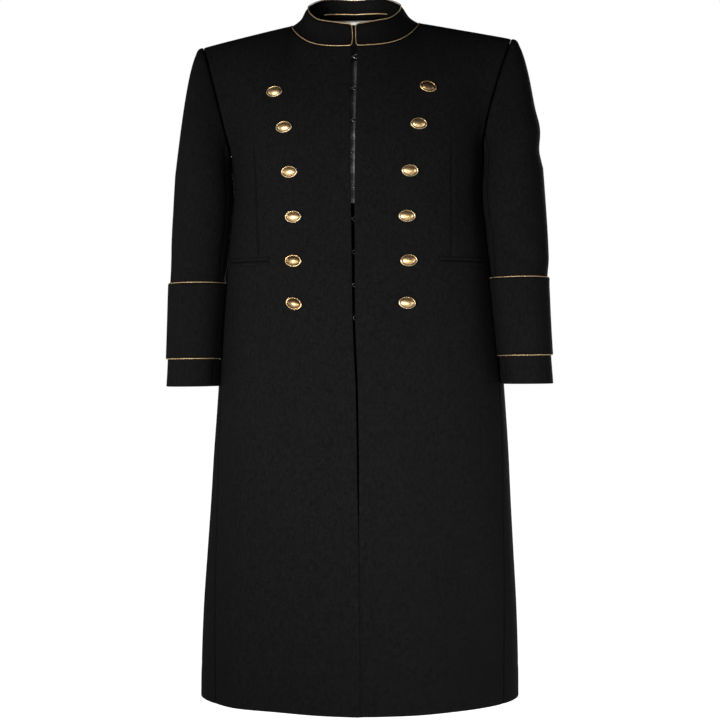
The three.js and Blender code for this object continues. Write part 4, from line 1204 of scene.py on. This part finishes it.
def build_welt(side, name, top):
    """One padded welt of a pocket, thin at its ends, with painted shade along the slit and, fainter, along
    its other edge.
    """
    def surface(u, v):
        return hang(body_point(side, lerp(WELT["from"], WELT["to"], u), top + WELT["height"] * v))

    u, v = np.meshgrid(np.linspace(0, 1, 61), np.linspace(0, 1, 9))
    base = surface(u, v)
    normal = grid_normals(base, -side.sign)
    pad = WELT["cloth"] * (0.55 + 0.45 * np.sin(math.pi * np.clip(v, 0.06, 0.94)))
    pad = pad * (0.45 + 0.55 * smoothstep(u, 0, 0.03) * smoothstep(1 - u, 0, 0.03))
    outer = base + normal * (pad + 0.1)[..., None]
    inner = base - normal * 0.25
    from_slit = (1 - v) if name == "upper" else v
    # Painted shade along the slit, fainter along the welt's other edge.
    dark = 0.9 * bell(from_slit / 0.2) + 0.3 * bell((1 - from_slit) / 0.2)
    obj = shell(f"wool_pocket_welt_{name}_{side.name}", outer, inner, material("wool"),
                np.clip(dark, 0, 1), edge_round=0.2)
    declare_cloth(obj, f"pocket_welt_{name}_{side.name}")


# The domed button's section as shares of its half width and its rise, from the middle of its back to its
# top, and how dark each ring is. BUTTON_MIDDLES are the back's and the top's darkness.
# The dark rings round the back edge are a painted shade where the button meets the coat.
BUTTON_SECTION = table(
    "radius height dark",
    (0.5, 0.0, 0.7), (0.86, 0.0, 0.8), (0.965, 0.06, 0.7), (1.0, 0.2, 0.3), (0.995, 0.36, 0),
    (0.955, 0.5, 0), (0.9, 0.565, 0), (0.86, 0.55, 0.2), (0.83, 0.47, 0.9), (0.8, 0.43, 1.0),
    (0.765, 0.46, 0.9), (0.73, 0.55, 0.55), (0.65, 0.67, 0.4), (0.52, 0.8, 0.4), (0.36, 0.91, 0.4),
    (0.2, 0.97, 0.38), (0.08, 0.995, 0.36),
)
BUTTON_MIDDLES = (0.7, 0.36)


def build_buttons():
    """Twelve domed buttons, each leaning as it hangs on its thread."""
    half_width = cloth_settings().button_width / 2 / MM
    half_height = cloth_settings().button_height / 2 / MM
    sides = 56
    turn = 2 * math.pi * np.arange(sides) / sides
    parts, shades, nodes = [], [], []
    for i, row in enumerate(BUTTONS["row"].astype(int)):
        for side in SIDES:
            x = BUTTONS[f"{side.name}_x"][i]
            across, down = place_on_front(side, x, BUTTONS[f"{side.name}_drop"][i])

            def surface(u, v, side=side):
                return panel(side, True, u, 2 * v)

            out = normals_on(surface, np.array(across), np.array(down / 2), -side.sign)
            level = unit(np.cross((0, 0, 1), out))
            up = np.cross(out, level)
            lean = math.radians(BUTTONS[f"{side.name}_lean"][i])
            cos, sin = math.cos(lean), math.sin(lean)
            level, up = level * cos - up * sin, up * cos + level * sin
            seat = panel(side, True, across, down) + out * BUTTON["seat"]
            rings = [
                seat + out * (height * BUTTON["rise"])
                + radius * (half_width * np.cos(turn)[:, None] * level
                            + half_height * np.sin(turn)[:, None] * up)
                for radius, height in zip(BUTTON_SECTION["radius"], BUTTON_SECTION["height"])
            ]
            points = np.concatenate([*rings, [seat], [seat + out * BUTTON["rise"]]])
            count = len(rings) * sides
            faces = [face[::-1] for face in strip_faces(len(rings), sides)]
            faces += [[count, (k + 1) % sides, k] for k in range(sides)]
            last = count - sides
            faces += [[count + 1, last + k, last + (k + 1) % sides] for k in range(sides)]
            parts.append((points, faces))
            dark = np.concatenate([np.repeat(BUTTON_SECTION["dark"], sides), BUTTON_MIDDLES])
            # Painted shade: the tone darkens single buttons, most of all those that lean.
            shades.append(np.minimum(dark + BUTTONS[f"{side.name}_tone"][i], 1))
            nodes.append(f"button_{side.name}_{row}")
    obj = join_meshes("brass_buttons", parts, "brass", shades)
    settle(obj, nodes)


EYE_PATH = ((9, 2.6, 3.4), (4, 2.6, 5.2), (0.8, 2.4, 5.4), (-1, 1.4, 5.4), (-1.6, 0, 5.4), (-1, -1.4, 5.4),
            (0.8, -2.4, 5.4), (4, -2.6, 5.2), (9, -2.6, 3.4))
HOOK_PATH = ((-10, 0, 3.4), (-6.5, 0, 6), (-3, 0, 6.7), (-0.8, 0, 6.7), (0.3, 0, 5.5), (-0.6, 0, 4.2),
             (-3, 0, 4.1))


def build_hooks():
    """The nine hooks and eyes behind the front edges, fastened."""
    for name, path in (("eye", EYE_PATH), ("hook", HOOK_PATH)):
        parts = []
        for i in range(HOOKS["count"]):
            drop = HOOKS["first"] + i * HOOKS["pitch"]
            x, up, inside = np.array(path).T
            line = closure_points(x, drop - up, inside)
            parts.append(wire_mesh(line, HOOKS["wire"]))
        obj = join_meshes(f"{name}s", parts, "wire")
        settle(obj, [f"{name}_{i + 1}" for i in range(HOOKS["count"])])


def build_underlap():
    """The satin strip behind the front edges, puckered between the hooks and darkened round each hook by
    painted shade.
    """
    xs = np.linspace(-UNDERLAP["half"], UNDERLAP["half"], 21)
    drops = np.linspace(UNDERLAP["top"], UNDERLAP["bottom"], 121)
    seat = cloth_settings().thickness / MM + SEAM_GAP + 0.5
    x, drop = np.meshgrid(xs, drops)
    since = ((drop - HOOKS["first"]) / HOOKS["pitch"]) % 1
    pucker = 0.5 * np.sin(2 * math.pi * since * 2) * (1 - np.abs(2 * since - 1) ** 2)
    outer = closure_points(x, drop, lerp(UNDERLAP["deep"] + pucker, seat, smoothstep(np.abs(x), 9.5, 13)))
    inner = outer - grid_normals(outer, -1) * UNDERLAP["cloth"]
    # Painted shade round each hook.
    at_hook = bell(np.minimum(since, 1 - since) * HOOKS["pitch"] / 7)
    obj = shell("satin_underlap", outer, inner, material("satin"), at_hook)
    declare_cloth(obj, "front_underlap")


def build_label():
    """The bare label below the back neck seam, with its hand stitches."""
    u, v = np.meshgrid(np.linspace(0, 1, 41), np.linspace(0, 1, 25))
    x = LABEL["shift"] + lerp(-LABEL["half"], LABEL["half"], u)
    across = np.abs(np.degrees(np.arcsin(x / NECK["half_width"]))) / 90 * BACK_YOKE["neck_share"]
    straight = straight_panel(RIGHT, False, np.maximum(across, 1e-4), lerp(LABEL["top"], LABEL["bottom"], v))
    base = hang(point(x, straight[..., 1], straight[..., 2] + LABEL["lift"]))
    normal = grid_normals(base, 1)
    outer = base - normal * LABEL["inside"]
    inner = outer - normal * LABEL["cloth"]
    obj = shell("woven_label", outer, inner, material("label"), np.zeros(u.shape))
    pitch, thread = 3.2, 0.22
    sewn = inner - normal * 0.1
    columns = np.linspace(1, u.shape[1] - 2, 14).astype(int)
    paths = [sewn[1, columns], sewn[-2, columns], sewn[1:-1:3, 1], sewn[1:-1:3, -2]]
    stitches = run_tree("label_stitches", stitch_tree, paths, {
        "Pitch": pitch * MM, "Thread": thread * MM, "Material": material("thread")})
    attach(stitches, "root")
    declare_cloth(obj, "neck_label")


def build_hanger_loop():
    """The loop of cord inside the back of the collar, by which the coat is hung up."""
    middle_radius = (NECK["half_width"] + COLLAR["half_width"]) / 2
    half_turn = math.degrees(math.asin(LOOP["half"] / middle_radius)) / 360
    inside = COLLAR["cloth"] + SEAM_GAP + LOOP["radius"] + 0.2
    u = np.linspace(0.5 - half_turn, 0.5 + half_turn, 40)
    v = np.full_like(u, LOOP["height"])
    path = collar(u, v) - normals_on(collar, u, v, -1) * inside
    obj = twisted_cord("cord_hanger_loop", path, LOOP["radius"], lay=6)
    settle(obj, ["hanger_loop"])


def build_piping(node, path):
    """A closed loop of gold piping along a path."""
    obj = twisted_cord(f"cord_{node}", path, cloth_settings().piping_radius / MM, is_loop=True)
    settle(obj, [node])


# Stage
FLOOR = {"half": 30.0, "height": -1.35}
# Each light: its name, place, aim, size, spread in degrees and power as a share of the key light's
LIGHTS = (
    ("key", (-1.35, -2.35, -0.6), (-0.05, -0.13, -0.36), 0.7, 32, 1.08),
    ("low", (0.5, -2.7, -1.15), (0.08, 0, -0.95), 0.9, 28, 1.0),
    ("neck", (-0.004, -0.45, 0.6), (-0.004, 0.072, 0.017), 0.06, 8, 0.009),
    ("back", (0.9, 3.0, 0.2), (0, 0, -0.45), 1.8, 70, 3.5),
    ("right", (2.8, -0.9, -0.3), (0.1, 0, -0.5), 1.2, 50, 0.7),
    ("left", (-3.0, 0.5, -0.1), (0, 0, -0.5), 1.2, 60, 0.7),
)


def build_stage(settings):
    scene = bpy.context.scene
    scene.view_settings.view_transform = "Standard"
    scene.view_settings.look = "None"
    camera = bpy.data.objects.new("camera", bpy.data.cameras.new("camera"))
    scene.collection.objects.link(camera)
    camera.location = (settings.camera_x, -settings.camera_distance, settings.camera_z)
    camera.rotation_euler = (math.pi / 2, 0, 0)
    camera.data.sensor_width = 36
    frame_width = PHOTO_PIXELS * settings.scale * MM
    camera.data.lens = camera.data.sensor_width * settings.camera_distance / frame_width
    scene.camera = camera
    floor = bpy.data.meshes.new("floor")
    corners = [(x * FLOOR["half"], y * FLOOR["half"], FLOOR["height"])
               for x, y in ((-1, -1), (1, -1), (1, 1), (-1, 1))]
    floor.from_pydata(corners, [], [(0, 1, 2, 3)])
    floor.materials.append(material("paper"))
    new_object("floor", floor)
    world = bpy.data.worlds.new("studio")
    scene.world = world
    world.use_nodes = True
    tree = world.node_tree
    rays = tree.nodes.new("ShaderNodeLightPath")
    strength = add_node(tree, "ShaderNodeMath", {
        0: rays.outputs["Is Camera Ray"], 1: 1 - settings.fill, 2: settings.fill}, operation="MULTIPLY_ADD")
    feed(tree, tree.nodes["Background"].inputs["Color"], (1, 1, 1, 1))
    feed(tree, tree.nodes["Background"].inputs["Strength"], strength.outputs[0])
    for name, place, aim, size, spread_angle, share in LIGHTS:
        lamp = bpy.data.lights.new(name, "AREA")
        lamp.size = size
        lamp.spread = math.radians(spread_angle)
        lamp.energy = share * settings.key
        light = bpy.data.objects.new(name, lamp)
        scene.collection.objects.link(light)
        light.location = place
        light.rotation_euler = (Vector(aim) - Vector(place)).to_track_quat("-Z", "Y").to_euler()


class ClothSettings(bpy.types.PropertyGroup):
    """The coat's cloth."""

    wool_color: bpy.props.FloatVectorProperty(
        name="Wool colour", description="Linear colour of the darkest fibres", subtype="COLOR", size=3,
        default=(0.0012, 0.0012, 0.0012), min=0, max=1)
    thickness: bpy.props.FloatProperty(
        name="Cloth thickness", description="Thickness of the fulled wool, lining included",
        default=0.0024, min=0.001, max=0.003, unit="LENGTH")
    piping_radius: bpy.props.FloatProperty(
        name="Piping radius", description="Radius of the cord round the collar and the cuffs",
        default=0.0012, min=0.0006, max=0.003, unit="LENGTH")
    button_width: bpy.props.FloatProperty(
        name="Button width", description="Width of a domed button", default=0.0244, min=0.01, max=0.04,
        unit="LENGTH")
    button_height: bpy.props.FloatProperty(
        name="Button height", description="Height of a domed button", default=0.017, min=0.01, max=0.04,
        unit="LENGTH")


class StageSettings(bpy.types.PropertyGroup):
    """The camera and the studio light."""

    scale: bpy.props.FloatProperty(
        name="Scale", description="Millimetres that one pixel spans in the plane of the side outlines",
        default=1.45, min=0.1, max=10)
    camera_distance: bpy.props.FloatProperty(
        name="Camera distance", description="Distance of the lens from the coat's middle",
        default=2.8, min=1, max=10, unit="LENGTH")
    camera_x: bpy.props.FloatProperty(
        name="Camera place", description="How far the lens stands to the wearer's left",
        default=0.0036, unit="LENGTH")
    camera_z: bpy.props.FloatProperty(
        name="Camera height", description="Height of the lens above the side neck points",
        default=-0.486, unit="LENGTH")
    key: bpy.props.FloatProperty(
        name="Key light", description="Power of the main soft light", default=6, min=0, unit="POWER")
    fill: bpy.props.FloatProperty(
        name="Fill light", description="Light that the white surroundings give", default=0.08, min=0, max=1)


class OVERCOAT_OT_fronts(bpy.types.Operator):
    """Build the two fronts"""
    bl_idname = "overcoat.fronts"
    bl_label = "Fronts"

    def execute(self, context):
        for side in SIDES:
            build_panel(side, True)
        return {"FINISHED"}


class OVERCOAT_OT_backs(bpy.types.Operator):
    """Build the two backs"""
    bl_idname = "overcoat.backs"
    bl_label = "Backs"

    def execute(self, context):
        for side in SIDES:
            build_panel(side, False)
        return {"FINISHED"}


class OVERCOAT_OT_sleeves(bpy.types.Operator):
    """Build the two-piece sleeves"""
    bl_idname = "overcoat.sleeves"
    bl_label = "Sleeves"

    def execute(self, context):
        for side in SIDES:
            build_sleeve(side, "sleeve_top", SLEEVE_SEAMS["back"] - 360, SLEEVE_SEAMS["front"], 104)
            build_sleeve(side, "sleeve_under", SLEEVE_SEAMS["front"], SLEEVE_SEAMS["back"], 40)
        return {"FINISHED"}


class OVERCOAT_OT_cuffs(bpy.types.Operator):
    """Build the cuff bands and their piping"""
    bl_idname = "overcoat.cuffs"
    bl_label = "Cuffs"

    def execute(self, context):
        for side in SIDES:
            build_cuff_band(side)
            for edge in ("upper", "lower"):
                build_piping(f"cuff_piping_{edge}_{side.name}", cuff_piping_path(side, edge))
        return {"FINISHED"}


class OVERCOAT_OT_collar(bpy.types.Operator):
    """Build the stand collar, its piping and the hanger loop"""
    bl_idname = "overcoat.collar"
    bl_label = "Collar"

    def execute(self, context):
        build_collar()
        build_piping("collar_piping", collar_piping_path())
        build_hanger_loop()
        return {"FINISHED"}


class OVERCOAT_OT_pockets(bpy.types.Operator):
    """Build the pocket welts"""
    bl_idname = "overcoat.pockets"
    bl_label = "Pockets"

    def execute(self, context):
        for side in SIDES:
            build_welt(side, "upper", WELT["drop"] - WELT["split"] / 2 - WELT["height"])
            build_welt(side, "lower", WELT["drop"] + WELT["split"] / 2)
        return {"FINISHED"}


class OVERCOAT_OT_buttons(bpy.types.Operator):
    """Build the buttons"""
    bl_idname = "overcoat.buttons"
    bl_label = "Buttons"

    def execute(self, context):
        build_buttons()
        return {"FINISHED"}


class OVERCOAT_OT_closure(bpy.types.Operator):
    """Build the hooks, eyes and underlap"""
    bl_idname = "overcoat.closure"
    bl_label = "Closure"

    def execute(self, context):
        build_underlap()
        build_hooks()
        return {"FINISHED"}


class OVERCOAT_OT_label(bpy.types.Operator):
    """Build the bare neck label"""
    bl_idname = "overcoat.label"
    bl_label = "Label"

    def execute(self, context):
        build_label()
        return {"FINISHED"}


class OVERCOAT_OT_stage(bpy.types.Operator):
    """Build the camera, the floor and the light"""
    bl_idname = "overcoat.stage"
    bl_label = "Stage"

    def execute(self, context):
        build_stage(context.scene.overcoat_stage)
        return {"FINISHED"}


OPERATORS = (
    OVERCOAT_OT_stage, OVERCOAT_OT_fronts, OVERCOAT_OT_backs, OVERCOAT_OT_sleeves, OVERCOAT_OT_cuffs,
    OVERCOAT_OT_collar, OVERCOAT_OT_pockets, OVERCOAT_OT_buttons, OVERCOAT_OT_closure, OVERCOAT_OT_label,
)


class OVERCOAT_PT_panel(bpy.types.Panel):
    """Lists the coat's pieces"""
    bl_idname = "OVERCOAT_PT_panel"
    bl_label = "Overcoat"
    bl_space_type = "VIEW_3D"
    bl_region_type = "UI"
    bl_category = "Overcoat"

    def draw(self, context):
        for settings in (context.scene.overcoat_cloth, context.scene.overcoat_stage):
            for name in settings.__annotations__:
                self.layout.prop(settings, name)
        for operator in OPERATORS:
            self.layout.operator(operator.bl_idname)


CLASSES = (ClothSettings, StageSettings, *OPERATORS, OVERCOAT_PT_panel)


def register():
    for cls in CLASSES:
        bpy.utils.register_class(cls)
    bpy.types.Scene.overcoat_cloth = bpy.props.PointerProperty(type=ClothSettings)
    bpy.types.Scene.overcoat_stage = bpy.props.PointerProperty(type=StageSettings)


def unregister():
    del bpy.types.Scene.overcoat_stage
    del bpy.types.Scene.overcoat_cloth
    for cls in reversed(CLASSES):
        bpy.utils.unregister_class(cls)


def main():
    register()
    for operator in OPERATORS:
        area, name = operator.bl_idname.split(".")
        getattr(getattr(bpy.ops, area), name)()


if __name__ == "__main__":
    main()
